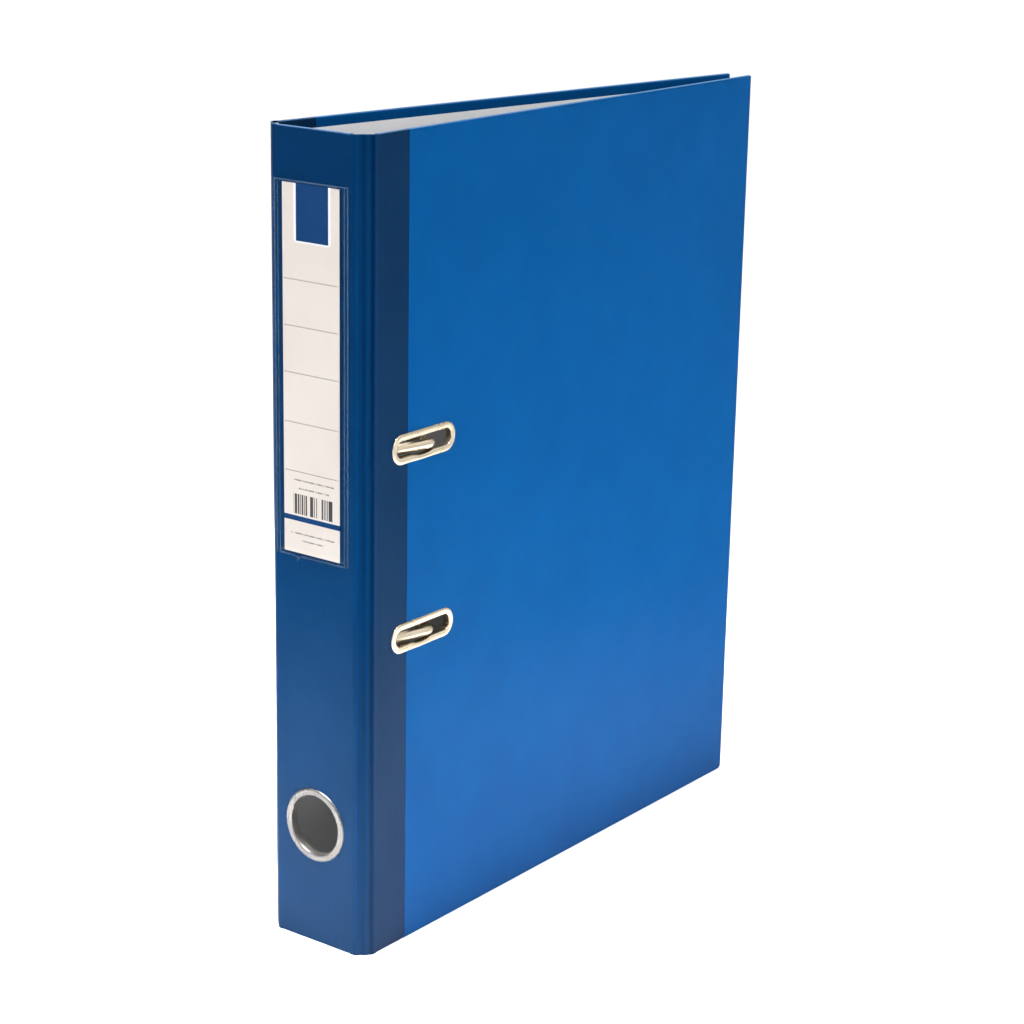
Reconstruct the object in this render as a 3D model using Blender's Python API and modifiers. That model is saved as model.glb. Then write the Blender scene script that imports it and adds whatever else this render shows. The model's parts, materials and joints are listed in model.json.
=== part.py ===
"""Lever arch file: a hinged board case with a two-ring lever arch mechanism inside.

The file stands upright on its lower edges. +Z is up, the spine faces -Y, the front cover is on
the +X side and the back cover, which carries the mechanism, is on the -X side. The origin is at
the bottom centre of the whole file. Each rigid group of pieces hangs on an empty that stands on
the group's own joint axis.
"""
import math

import bmesh
import bpy
from mathutils import Vector

MM = 0.001

# Case
HEIGHT = 343 * MM
CASE_WIDTH = 54.4 * MM
COVER_LENGTH = 281 * MM
CREASE_DROP = 5.4 * MM          # each hinge strip spans this far along X and along Y
FRONT_LEAN = math.radians(3.1)  # the covers close towards each other at the fore edge
BACK_LEAN = math.radians(5.3)
SKIN = 0.25 * MM                # cloth, paper and lining
LAYER_GAP = 0.1 * MM
BOARD = 1.6 * MM
BOARD_SETBACK = 1.2 * MM        # from a crease to the board beside it
CLOTH_SETBACK = 0.5 * MM
HINGE_THICKNESS = 0.5 * MM
CLOTH_MARGIN = 22 * MM          # spine cloth on each cover
TURN_IN = 5 * MM
CORNER_RADIUS = 3 * MM

# Distances inward from the outer face of a cover or of the spine
OUTER_SKIN = (0.0, SKIN)
CORE = (SKIN + LAYER_GAP, SKIN + LAYER_GAP + BOARD)
INNER_SKIN = (CORE[1] + LAYER_GAP, CORE[1] + LAYER_GAP + SKIN)
WALL = INNER_SKIN[1]

SPINE_WIDTH = CASE_WIDTH - 2 * CREASE_DROP
HINGE_WIDTH = math.hypot(CREASE_DROP, CREASE_DROP)

# Finger ring in the spine
RING_HEIGHT = 53.3 * MM
RING_OUTER_RADIUS = 16.1 * MM
RING_INNER_RADIUS = 13.0 * MM
RING_BARREL = 0.5 * MM
RING_PROUD = 0.9 * MM
RING_HOLE_RADIUS = RING_INNER_RADIUS + RING_BARREL + 0.4 * MM

# Arch slots in the front cover
MECHANISM_HEIGHT = 174.5 * MM   # halfway between the two rings
SLOT_RISE = 1.0 * MM            # the slots sit a little higher than the rings
RING_SPACING = 80 * MM
SLOT_START = 11.7 * MM          # outer end of the eyelet, from the crease
SLOT_LENGTH = 41.9 * MM
SLOT_WIDTH = 12.6 * MM
EYELET_RIM = 2.8 * MM
EYELET_BARREL = 0.45 * MM
EYELET_PROUD = 0.6 * MM
EYELET_FLANGE = 1.5 * MM
SLOT_CLEARANCE = 0.3 * MM

# Label pocket on the spine, measured from the spine's back crease
POCKET_LEFT = 1.1 * MM
POCKET_WIDTH = 39.5 * MM
POCKET_BOTTOM = 169 * MM
POCKET_HEIGHT = 153.3 * MM
POCKET_WELD = 1.5 * MM
FILM = 0.15 * MM
CARD_LEFT = 5.9 * MM
CARD_WIDTH = 30.3 * MM
CARD_HEIGHT = 150.3 * MM
CARD_THICKNESS = 0.15 * MM
POCKET_CAVITY = CARD_THICKNESS + 2 * LAYER_GAP

# Mechanism, in the back cover's own axes: X inward from the outer face, Y along from the crease
PLATE_X = (WALL + LAYER_GAP, WALL + LAYER_GAP + 1.0 * MM)
PLATE_Y = (6 * MM, 62 * MM)
PLATE_LENGTH = 160 * MM
PLATE_LIP = 1.6 * MM
SHEET = 1.2 * MM
BITE = 0.2 * MM                 # how far joined shapes run into each other before the union
RUNNING_GAP = 0.3 * MM
CUTTER_LENGTH = 12 * MM

ARCH_PIVOT = (7.0 * MM, 11.0 * MM)
WIRE_RADIUS = 2.2 * MM
ARCH_EAR_OFFSET = 30 * MM
ARCH_EAR_WIDTH = 9 * MM
ARCH_WINDOW_OFFSET = (1.5 * MM, 7.5 * MM)   # beyond the ear, where the bent wire dips into the plate
ARCH_WINDOW_HALF_WIDTH = 3.5 * MM
CRANK_SEAT = (7.4 * MM, 19.0 * MM)
CRANK_HALF_LENGTH = 16 * MM
CRANK_RUN = 6 * MM
LEG_KNEE = (22 * MM, 9.2 * MM)
SHOULDER_CENTRE = (33.8 * MM, 22.2 * MM)
SHOULDER_RADIUS = 13 * MM
TIP_CENTRE = (44.6 * MM, 40.5 * MM)
TIP_RADIUS = 3.5 * MM
ARCH_END_X = 43.8 * MM
BEND_RADIUS = 4.5 * MM

POST_Y = 44 * MM
POST_RADIUS = 2.5 * MM
POST_TOP_X = 43.3 * MM
POST_SHANK_RADIUS = 1.9 * MM
POST_FLANGE_RADIUS = 4.0 * MM
POST_FLANGE_THICKNESS = 0.8 * MM

LEVER_PIVOT = (9.5 * MM, 25.5 * MM)
LEVER_WIDTH = 15.6 * MM
LEVER_CHEEK_RADIUS = 3.8 * MM
LEVER_EAR_OFFSET = 10 * MM
LEVER_EAR_WIDTH = 8 * MM
LEVER_PIN_RADIUS = 1.5 * MM
LEVER_ROLL_RADIUS = 1.3 * MM
PIN_HEAD_STEP = 0.9 * MM
PIN_HEAD_THICKNESS = 0.7 * MM

SPRING_PIVOT = (3.95 * MM, 33.5 * MM)
SPRING_THICKNESS = 0.4 * MM
SPRING_HALF_WIDTH = 5 * MM

BAR_X = (6.0 * MM, 7.0 * MM)
BAR_Y = (39.5 * MM, 60.0 * MM)
BAR_LENGTH = 150 * MM
BAR_LIP = 3 * MM
LATCH_PIVOT = (9.3 * MM, 52.5 * MM)
LATCH_THICKNESS = 0.8 * MM
LATCH_HALF_WIDTH = 5 * MM
LATCH_Y = (40.5 * MM, 66.0 * MM)
LATCH_PIN_RADIUS = 0.7 * MM
LATCH_SLEEVE_RADIUS = 1.5 * MM
LATCH_LUG = 2 * MM              # how far the lugs reach to each side of the pin
BAR_HOLE_RADIUS = POST_RADIUS + 0.4 * MM
LATCH_HOLE_RADIUS = POST_RADIUS + 0.9 * MM

RIVET_Y = (14 * MM, 54 * MM)
RIVET_OFFSET = 68 * MM
RIVET_RADIUS = 1.5 * MM
RIVET_HOLE_RADIUS = 1.8 * MM
RIVET_HEAD_RADIUS = 4.0 * MM
RIVET_TAIL_RADIUS = 3.0 * MM

# World place of the creases; the covers and the ring's rim are equally far from the origin
SPINE_FACE_Y = (RING_PROUD - CREASE_DROP - COVER_LENGTH * math.cos(FRONT_LEAN)) / 2
BACK_CREASE = Vector((-CASE_WIDTH / 2, SPINE_FACE_Y + CREASE_DROP, 0))
SPINE_BACK_CREASE = Vector((-SPINE_WIDTH / 2, SPINE_FACE_Y, 0))
SPINE_FRONT_CREASE = Vector((SPINE_WIDTH / 2, SPINE_FACE_Y, 0))
FRONT_CREASE = Vector((CASE_WIDTH / 2, SPINE_FACE_Y + CREASE_DROP, 0))

# Turns that lay a flat outline, or the axis of a turned shape, where it belongs
THICKNESS_ALONG_X = (math.radians(90), 0, math.radians(90))
AXIS_ALONG_Y = (math.radians(-90), 0, 0)
UNTURNED = (0, 0, 0)

# Base colour, roughness, metallic
FINISHES = {
    "cover_paper": ((0.0, 0.098, 0.376, 1), 0.45, 0),
    "spine_cloth": ((0.006, 0.038, 0.15, 1), 0.5, 0),
    "greyboard": ((0.36, 0.35, 0.33, 1), 0.9, 0),
    "lining_paper": ((0.6, 0.6, 0.61, 1), 0.7, 0),
    "bright_nickel": ((0.82, 0.79, 0.74, 1), 0.18, 1),
    "dull_nickel": ((0.66, 0.64, 0.6, 1), 0.32, 1),
    "clear_film": ((0.85, 0.9, 0.95, 1), 0.1, 0),
    "label_card": ((0.83, 0.8, 0.76, 1), 0.6, 0),
}


def clear_scene():
    for obj in list(bpy.data.objects):
        bpy.data.objects.remove(obj, do_unlink=True)


def new_collection(name):
    collection = bpy.data.collections.new(name)
    bpy.context.scene.collection.children.link(collection)
    return collection


clear_scene()
PARTS = new_collection("lever_arch_file")
CUTTERS = new_collection("cutters")


def add_material(obj, finish):
    colour, roughness, metallic = FINISHES[finish]
    material = bpy.data.materials.new(obj.name + "_" + finish)
    material.use_nodes = True
    shader = material.node_tree.nodes["Principled BSDF"]
    shader.inputs["Base Color"].default_value = colour
    shader.inputs["Roughness"].default_value = roughness
    shader.inputs["Metallic"].default_value = metallic
    material.diffuse_color = colour
    obj.data.materials.append(material)


def place(name, data, frame, finish, location=(0, 0, 0), rotation=UNTURNED):
    """Put a piece, or a cutter where finish is None, into a frame's axes."""
    obj = bpy.data.objects.new(name, data)
    obj.parent = frame
    obj.location = location
    obj.rotation_euler = rotation
    if finish is None:
        CUTTERS.objects.link(obj)
        obj.hide_render = True
        obj.display_type = "WIRE"
    else:
        PARTS.objects.link(obj)
        add_material(obj, finish)
    return obj


def add_frame(name, location, turn=0.0, parent=None):
    """An empty whose Z axis is the joint axis of the pieces under it."""
    frame = bpy.data.objects.new(name, None)
    frame.empty_display_size = 0.02
    frame.location = location
    frame.rotation_euler = (0, 0, turn)
    frame.parent = parent
    PARTS.objects.link(frame)
    return frame


def block(name, frame, finish, x, y, z, corner=0.0):
    """A block between two values on each axis; corner rounds the edges at its far Y end."""
    bm = bmesh.new()
    bmesh.ops.create_cube(bm, size=1.0)
    lengths = (abs(x[1] - x[0]), abs(y[1] - y[0]), abs(z[1] - z[0]))
    bmesh.ops.scale(bm, vec=lengths, verts=bm.verts)
    bmesh.ops.translate(bm, vec=(sum(x) / 2, sum(y) / 2, sum(z) / 2), verts=bm.verts)
    if corner:
        far = max(vert.co.y for vert in bm.verts)
        edges = [edge for edge in bm.edges
                 if all(abs(vert.co.y - far) < 1e-6 for vert in edge.verts)
                 and abs(edge.verts[0].co.x - edge.verts[1].co.x) > 1e-6]
        bmesh.ops.bevel(bm, geom=edges, offset=corner, segments=5, profile=0.5, affect="EDGES")
    mesh = bpy.data.meshes.new(name)
    bm.to_mesh(mesh)
    bm.free()
    return place(name, mesh, frame, finish)


def curve_data(name, points, cyclic, dimensions):
    """A curve of one straight-sided spline through the points."""
    curve = bpy.data.curves.new(name, "CURVE")
    curve.dimensions = dimensions
    spline = curve.splines.new("POLY")
    spline.points.add(len(points) - 1)
    for target, point in zip(spline.points, points):
        target.co = (point[0], point[1], point[2] if len(point) > 2 else 0.0, 1.0)
    spline.use_cyclic_u = cyclic
    return curve


def curve_to_mesh(curve, name):
    """The closed mesh of a curve, with the loose edges of its caps welded."""
    source = bpy.data.objects.new(name, curve)
    CUTTERS.objects.link(source)
    bpy.context.view_layer.update()
    evaluated = source.evaluated_get(bpy.context.evaluated_depsgraph_get())
    mesh = bpy.data.meshes.new_from_object(evaluated)
    bpy.data.objects.remove(source, do_unlink=True)
    bpy.data.curves.remove(curve)
    mesh.name = name
    mesh.materials.clear()
    bm = bmesh.new()
    bm.from_mesh(mesh)
    bmesh.ops.remove_doubles(bm, verts=bm.verts, dist=1e-7)
    bmesh.ops.recalc_face_normals(bm, faces=bm.faces)
    bm.to_mesh(mesh)
    bm.free()
    return mesh


def outline_solid(name, frame, finish, points, thickness, location=(0, 0, 0), rotation=UNTURNED):
    """A flat outline with a thickness, centred on the outline's own plane."""
    curve = curve_data(name, points, cyclic=True, dimensions="2D")
    curve.fill_mode = "BOTH"
    curve.extrude = thickness / 2
    return place(name, curve_to_mesh(curve, name), frame, finish, location, rotation)


def turned(name, frame, finish, profile, location, rotation, steps=32, closed=False):
    """A profile of (radius, height) points, run down its outer side and turned about Z."""
    mesh = bpy.data.meshes.new(name)
    verts = [(radius, 0.0, height) for radius, height in profile]
    edges = [(i, i + 1) for i in range(len(verts) - 1)]
    if closed:
        edges.append((len(verts) - 1, 0))
    mesh.from_pydata(verts, edges, [])
    obj = place(name, mesh, frame, finish, location, rotation)
    screw = obj.modifiers.new("turn", "SCREW")
    screw.axis = "Z"
    screw.steps = steps
    screw.render_steps = steps
    screw.use_merge_vertices = True
    screw.merge_threshold = 1e-6
    screw.use_smooth_shade = True
    return obj


def cylinder_cutter(name, frame, radius, length, location, rotation=UNTURNED):
    bm = bmesh.new()
    bmesh.ops.create_cone(bm, cap_ends=True, segments=32, radius1=radius, radius2=radius, depth=length)
    mesh = bpy.data.meshes.new(name)
    bm.to_mesh(mesh)
    bm.free()
    return place(name, mesh, frame, None, location, rotation)


def boolean(obj, operation, others):
    for other in others:
        modifier = obj.modifiers.new(operation.lower(), "BOOLEAN")
        modifier.operation = operation
        modifier.solver = "EXACT"
        modifier.object = other


def smooth(obj):
    """Round pieces shade smooth, with their real edges kept sharp."""
    obj.data.shade_smooth()
    obj.data.set_sharp_from_angle(angle=math.radians(35))


def arc(centre, radius, start, end, steps):
    """Points on an arc, with angles in degrees from the first axis towards the second."""
    angles = [math.radians(start + (end - start) * i / steps) for i in range(steps + 1)]
    return [(centre[0] + radius * math.cos(a), centre[1] + radius * math.sin(a)) for a in angles]


def racetrack(centre, length, width, steps=10):
    """A slot with round ends, its long side along the first axis."""
    radius = width / 2
    half = length / 2 - radius
    right = arc((centre[0] + half, centre[1]), radius, -90, 90, steps)
    left = arc((centre[0] - half, centre[1]), radius, 90, 270, steps)
    return right + left


def strip_outline(path, thickness):
    """The outline of a strip of even thickness along a flat path."""
    points = [Vector(point) for point in path]
    offsets = []
    for i, point in enumerate(points):
        before = (point - points[i - 1]).normalized() if i else None
        after = (points[i + 1] - point).normalized() if i < len(points) - 1 else None
        along = ((before or after) + (after or before)).normalized()
        stretch = 1.0 if before is None or after is None else along.dot(after)
        offsets.append(Vector((-along.y, along.x)) * (thickness / 2 / stretch))
    one_side = [tuple(point + offset) for point, offset in zip(points, offsets)]
    other_side = [tuple(point - offset) for point, offset in zip(points, offsets)]
    return one_side + other_side[::-1]


def rounded_path(points, radius, steps=5):
    """A path whose corners are rounded by an arc, as far as the runs beside them allow."""
    points = [Vector(point) for point in points]
    path = [points[0]]
    for i in range(1, len(points) - 1):
        corner = points[i]
        to_before = (points[i - 1] - corner).normalized()
        to_after = (points[i + 1] - corner).normalized()
        half_angle = to_before.angle(to_after) / 2
        room = 0.48 * min((points[i - 1] - corner).length, (points[i + 1] - corner).length)
        reach = min(radius / math.tan(half_angle), room)
        start = corner + to_before * reach
        end = corner + to_after * reach
        for step in range(steps + 1):
            t = step / steps
            path.append(start * (1 - t) ** 2 + corner * 2 * t * (1 - t) + end * t ** 2)
    path.append(points[-1])
    return path


def inward(layer, side):
    """A layer's X range: the back cover's X axis points inward, the front cover's outward."""
    return tuple(side * distance for distance in layer)


def add_frames():
    frames = {}
    frames["back_cover"] = add_frame("back_cover_frame", BACK_CREASE, -BACK_LEAN)
    frames["back_hinge"] = add_frame("back_hinge_frame", BACK_CREASE, math.radians(-135))
    frames["spine"] = add_frame("spine_frame", SPINE_BACK_CREASE)
    frames["front_hinge"] = add_frame("front_hinge_frame", SPINE_FRONT_CREASE, math.radians(-45))
    frames["front_cover"] = add_frame("front_cover_frame", FRONT_CREASE, FRONT_LEAN)
    back = frames["back_cover"]
    pivots = {"arches": ARCH_PIVOT, "lever": LEVER_PIVOT, "spring": SPRING_PIVOT, "latch": LATCH_PIVOT}
    for body, pivot in pivots.items():
        location = (pivot[0], pivot[1], MECHANISM_HEIGHT)
        frames[body] = add_frame(body + "_frame", location, parent=back)
    frames["mechanism"] = add_frame("mechanism_frame", (0, 0, MECHANISM_HEIGHT), parent=back)
    frames["label"] = add_frame("label_frame", (CARD_LEFT, 0, POCKET_BOTTOM), parent=frames["spine"])
    return frames


def turn_in_outline():
    """The band folded over a cover's top, fore edge and bottom, as seen from the side."""
    inner = COVER_LENGTH - TURN_IN
    radius = CORNER_RADIUS
    outer_corners = arc((COVER_LENGTH - radius, radius), radius, -90, 0, 5)
    outer_corners += arc((COVER_LENGTH - radius, HEIGHT - radius), radius, 0, 90, 5)
    outside = [(BOARD_SETBACK, 0.0)] + outer_corners + [(BOARD_SETBACK, HEIGHT)]
    inside = [(BOARD_SETBACK, HEIGHT - TURN_IN), (inner, HEIGHT - TURN_IN)]
    inside += [(inner, TURN_IN), (BOARD_SETBACK, TURN_IN)]
    return outside + inside


def cover_pieces(name, frame, side):
    """One cover's board, outer paper, cloth margin, turned-in edges and lining."""
    tall = (0.0, HEIGHT)
    pieces = {}
    pieces["board"] = block(name + "_board", frame, "greyboard", inward(CORE, side),
                            (BOARD_SETBACK, COVER_LENGTH), tall, CORNER_RADIUS)
    pieces["paper"] = block(name + "_cover_paper", frame, "cover_paper", inward(OUTER_SKIN, side),
                            (CLOTH_MARGIN + LAYER_GAP, COVER_LENGTH), tall, CORNER_RADIUS)
    pieces["margin"] = block(name + "_cloth_margin", frame, "spine_cloth", inward(OUTER_SKIN, side),
                             (CLOTH_SETBACK, CLOTH_MARGIN), tall)
    middle = side * sum(INNER_SKIN) / 2
    pieces["turn_in"] = outline_solid(name + "_turn_in", frame, "cover_paper", turn_in_outline(), SKIN,
                                      (middle, 0, 0), THICKNESS_ALONG_X)
    pieces["lining"] = block(name + "_lining", frame, "lining_paper", inward(INNER_SKIN, side),
                             (BOARD_SETBACK, COVER_LENGTH - TURN_IN - LAYER_GAP),
                             (TURN_IN + LAYER_GAP, HEIGHT - TURN_IN - LAYER_GAP))
    return pieces


def hinge_strip(name, frame):
    """The flexible cloth and lining between two creases; its outer face is at X = 0."""
    return block(name, frame, "spine_cloth", (-HINGE_THICKNESS, 0),
                 (CLOTH_SETBACK, HINGE_WIDTH - CLOTH_SETBACK), (0, HEIGHT))


def slot_heights():
    half = RING_SPACING / 2
    middle = MECHANISM_HEIGHT + SLOT_RISE
    return {"upper": middle + half, "lower": middle - half}


def slot_centre(height):
    return (SLOT_START + SLOT_LENGTH / 2, height)


def slot_cutters(frame):
    """Holes in the front cover for the arches, a little larger than the eyelets' barrels."""
    grow = 2 * (EYELET_BARREL + SLOT_CLEARANCE - EYELET_RIM)
    cutters = []
    for where, height in slot_heights().items():
        outline = racetrack(slot_centre(height), SLOT_LENGTH + grow, SLOT_WIDTH + grow)
        cutters.append(outline_solid("slot_cutter_" + where, frame, None, outline, 4 * WALL,
                                     (-WALL / 2, 0, 0), THICKNESS_ALONG_X))
    return cutters


def eyelet(name, frame, height):
    """A pressed metal eyelet: a rounded rim outside, a barrel, and a flange clinched inside."""
    rim = EYELET_RIM
    lift = LAYER_GAP
    inside = -WALL - LAYER_GAP
    section = [
        (0.0, EYELET_PROUD * 0.6), (rim * 0.2, EYELET_PROUD), (rim * 0.75, EYELET_PROUD),
        (rim, EYELET_PROUD * 0.5), (rim, lift), (EYELET_BARREL, lift), (EYELET_BARREL, inside),
        (EYELET_FLANGE, inside), (EYELET_FLANGE, inside - EYELET_PROUD / 2), (0.0, inside - EYELET_PROUD / 2),
    ]
    profile_points = [(-outward, height_above) for outward, height_above in section]
    opening = racetrack(slot_centre(height), SLOT_LENGTH - 2 * rim, SLOT_WIDTH - 2 * rim)
    profile = bpy.data.objects.new(name + "_profile",
                                   curve_data(name + "_profile", profile_points, True, "2D"))
    CUTTERS.objects.link(profile)
    path = curve_data(name, opening, cyclic=True, dimensions="2D")
    path.bevel_mode = "OBJECT"
    path.bevel_object = profile
    mesh = curve_to_mesh(path, name)
    bpy.data.objects.remove(profile, do_unlink=True)
    obj = place(name, mesh, frame, "bright_nickel", rotation=THICKNESS_ALONG_X)
    smooth(obj)
    return obj


def build_covers(frames):
    back = cover_pieces("back", frames["back_cover"], 1)
    front = cover_pieces("front", frames["front_cover"], -1)
    hinge_strip("back_hinge_cloth", frames["back_hinge"])
    hinge_strip("front_hinge_cloth", frames["front_hinge"])
    cutters = slot_cutters(frames["front_cover"])
    for piece in ("board", "paper", "margin", "lining"):
        boolean(front[piece], "DIFFERENCE", cutters)
    for where, height in slot_heights().items():
        eyelet("slot_eyelet_" + where, frames["front_cover"], height)
    return back


def build_spine(frames):
    frame = frames["spine"]
    tall = (0.0, HEIGHT)
    across = (BOARD_SETBACK, SPINE_WIDTH - BOARD_SETBACK)
    cloth_across = (CLOTH_SETBACK, SPINE_WIDTH - CLOTH_SETBACK)
    pieces = [
        block("spine_board", frame, "greyboard", across, CORE, tall),
        block("spine_cloth", frame, "spine_cloth", cloth_across, OUTER_SKIN, tall),
        block("spine_lining", frame, "lining_paper", across, INNER_SKIN, tall),
    ]
    centre = (SPINE_WIDTH / 2, 0, RING_HEIGHT)
    hole = cylinder_cutter("finger_hole_cutter", frame, RING_HOLE_RADIUS, 4 * WALL, centre, AXIS_ALONG_Y)
    for piece in pieces:
        boolean(piece, "DIFFERENCE", [hole])
    build_finger_ring(frame, centre)


def build_finger_ring(frame, centre):
    """The ring's rim and barrel in one, and the washer that it is clinched over inside."""
    inner = RING_INNER_RADIUS
    barrel = inner + RING_BARREL
    outer = RING_OUTER_RADIUS
    back = WALL + LAYER_GAP + 0.7 * MM
    rim = [
        (barrel, back), (barrel, -LAYER_GAP), (outer, -LAYER_GAP), (outer - 0.2 * MM, -0.6 * MM),
        (outer - 0.9 * MM, -RING_PROUD), (inner + 0.5 * MM, -RING_PROUD), (inner, -0.4 * MM), (inner, back),
    ]
    turned("finger_ring", frame, "bright_nickel", rim, centre, AXIS_ALONG_Y, 56, closed=True)
    near = WALL + LAYER_GAP
    washer = [
        (outer, near + 0.5 * MM), (outer, near), (barrel + RUNNING_GAP, near),
        (barrel + RUNNING_GAP, near + 0.5 * MM),
    ]
    turned("finger_ring_washer", frame, "dull_nickel", washer, centre, AXIS_ALONG_Y, 56, closed=True)


def build_label(frames):
    """A clear pocket welded on three sides and open at the top, with a card in it."""
    spine = frames["spine"]
    right = POCKET_LEFT + POCKET_WIDTH
    back_film = -LAYER_GAP - FILM
    front_film = back_film - POCKET_CAVITY
    top = POCKET_BOTTOM + POCKET_HEIGHT
    pocket = block("label_pocket", spine, "clear_film", (POCKET_LEFT, right),
                   (front_film - FILM, -LAYER_GAP), (POCKET_BOTTOM, top))
    cavity = block("pocket_cutter", spine, None, (POCKET_LEFT + POCKET_WELD, right - POCKET_WELD),
                   (front_film, back_film), (POCKET_BOTTOM + POCKET_WELD, top + POCKET_WELD))
    boolean(pocket, "DIFFERENCE", [cavity])
    card_front = front_film + LAYER_GAP
    bottom = POCKET_WELD + RUNNING_GAP
    block("label_card", frames["label"], "label_card", (0, CARD_WIDTH),
          (card_front, card_front + CARD_THICKNESS), (bottom, bottom + CARD_HEIGHT))


def ear_outline(pivot, width):
    """A tab that stands on the base plate and ends in a half circle around a pivot."""
    foot = PLATE_X[1] - BITE
    radius = width / 2
    return [(foot, pivot[1] - radius)] + arc(pivot, radius, -90, 90, 10) + [(foot, pivot[1] + radius)]


def build_base_plate(frame, rivet_cutters):
    half = PLATE_LENGTH / 2
    plate = block("base_plate", frame, "dull_nickel", PLATE_X, PLATE_Y, (-half, half))
    added = []
    for i, y in enumerate(PLATE_Y):
        lip = (y, y + SHEET) if i == 0 else (y - SHEET, y)
        x = (PLATE_X[0] + BITE, PLATE_X[1] + PLATE_LIP)
        added.append(block("plate_lip_%d" % i, frame, None, x, lip, (-half + BITE, half - BITE)))
    ears = [("arch_ear", ARCH_PIVOT, ARCH_EAR_WIDTH, ARCH_EAR_OFFSET),
            ("lever_ear", LEVER_PIVOT, LEVER_EAR_WIDTH, LEVER_EAR_OFFSET)]
    for name, pivot, width, offset in ears:
        for sign in (-1, 1):
            added.append(outline_solid("%s_%+d" % (name, sign), frame, None, ear_outline(pivot, width),
                                       SHEET, (0, 0, sign * offset)))
    added += spring_bridge(frame)
    removed = list(rivet_cutters)
    removed.append(cylinder_cutter("arch_bore", frame, WIRE_RADIUS + RUNNING_GAP,
                                   2 * (ARCH_EAR_OFFSET + SHEET), ARCH_PIVOT + (0,)))
    removed.append(cylinder_cutter("lever_bore", frame, LEVER_PIN_RADIUS + RUNNING_GAP,
                                   2 * (LEVER_EAR_OFFSET + SHEET), LEVER_PIVOT + (0,)))
    for sign in (-1, 1):
        post = (PLATE_X[0], POST_Y, sign * RING_SPACING / 2)
        removed.append(cylinder_cutter("post_hole_%+d" % sign, frame, POST_SHANK_RADIUS + RUNNING_GAP,
                                       CUTTER_LENGTH, post, THICKNESS_ALONG_X))
        window = sorted(sign * (ARCH_EAR_OFFSET + offset) for offset in ARCH_WINDOW_OFFSET)
        y = (ARCH_PIVOT[1] - ARCH_WINDOW_HALF_WIDTH, ARCH_PIVOT[1] + ARCH_WINDOW_HALF_WIDTH)
        x = (PLATE_X[0] - SHEET, PLATE_X[1] + SHEET)
        removed.append(block("arch_window_%+d" % sign, frame, None, x, y, window))
    boolean(plate, "UNION", added)
    boolean(plate, "DIFFERENCE", removed)


def spring_bridge(frame):
    """The lanced bridge on the base plate that holds the root of the arch spring."""
    top = 5.6 * MM
    strap = 0.7 * MM
    reach = SPRING_HALF_WIDTH + 1.3 * MM
    y = (SPRING_PIVOT[1] - 1.8 * MM, SPRING_PIVOT[1] + 1.2 * MM)
    foot = PLATE_X[1] - BITE
    pieces = [block("bridge_strap", frame, None, (top - strap, top), y, (-reach, reach))]
    for sign in (-1, 1):
        z = sorted((sign * reach, sign * (reach - SHEET / 2)))
        pieces.append(block("bridge_leg_%+d" % sign, frame, None, (foot, top - strap / 2), y, z))
    return pieces


def build_posts(frame):
    """Two fixed posts, shouldered on the base plate, with a dimple for the arch's end."""
    top = POST_TOP_X
    seat = PLATE_X[1] + LAYER_GAP
    shoulder = seat + POST_FLANGE_THICKNESS
    foot = PLATE_X[0] + LAYER_GAP
    profile = [
        (0.0, top - 0.7 * MM), (1.1 * MM, top), (POST_RADIUS - 0.4 * MM, top),
        (POST_RADIUS, top - 0.5 * MM), (POST_RADIUS, shoulder), (POST_FLANGE_RADIUS, shoulder),
        (POST_FLANGE_RADIUS, seat), (POST_SHANK_RADIUS, seat), (POST_SHANK_RADIUS, foot), (0.0, foot),
    ]
    for where, sign in (("upper", 1), ("lower", -1)):
        turned("post_" + where, frame, "bright_nickel", profile,
               (0, POST_Y, sign * RING_SPACING / 2), THICKNESS_ALONG_X, 24)


def arch_profile():
    """One arch from its end over the post to the foot of its leg, as (X, Y) points."""
    tip = arc(TIP_CENTRE, TIP_RADIUS, 90, -5, 8)
    shoulder = arc(SHOULDER_CENTRE, SHOULDER_RADIUS, -7, -90, 12)
    return [(ARCH_END_X, POST_Y)] + tip + shoulder + [LEG_KNEE]


def build_arch_wire(frame):
    """Both arches are one bent wire, with a crank in its straight bar for the lever."""
    half = RING_SPACING / 2
    arch = arch_profile()
    foot = ARCH_PIVOT
    crank = CRANK_SEAT
    bar = [LEG_KNEE + (half,), foot + (half,), foot + (CRANK_HALF_LENGTH + CRANK_RUN,),
           crank + (CRANK_HALF_LENGTH,), crank + (-CRANK_HALF_LENGTH,),
           foot + (-CRANK_HALF_LENGTH - CRANK_RUN,), foot + (-half,), LEG_KNEE + (-half,)]
    points = [Vector(point + (half,)) for point in arch[:-1]]
    points += rounded_path(bar, BEND_RADIUS)
    points += [Vector(point + (-half,)) for point in reversed(arch[:-1])]
    pivot = Vector(ARCH_PIVOT + (0,))
    curve = curve_data("arch_wire", [point - pivot for point in points], cyclic=False, dimensions="3D")
    curve.bevel_depth = WIRE_RADIUS
    curve.bevel_resolution = 5
    curve.use_fill_caps = True
    place("arch_wire", curve, frame, "bright_nickel")


def relative(points, pivot):
    return [(x - pivot[0], y - pivot[1]) for x, y in points]


def lever_path():
    """The lever's pressed top, from above its pin to the finger end by the spine."""
    return [(14.0 * MM, 27.0 * MM), (14.2 * MM, 20.0 * MM), (15.2 * MM, 13.0 * MM),
            (17.6 * MM, 7.8 * MM), (21.0 * MM, 4.6 * MM), (25.0 * MM, 3.2 * MM)]


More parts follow.
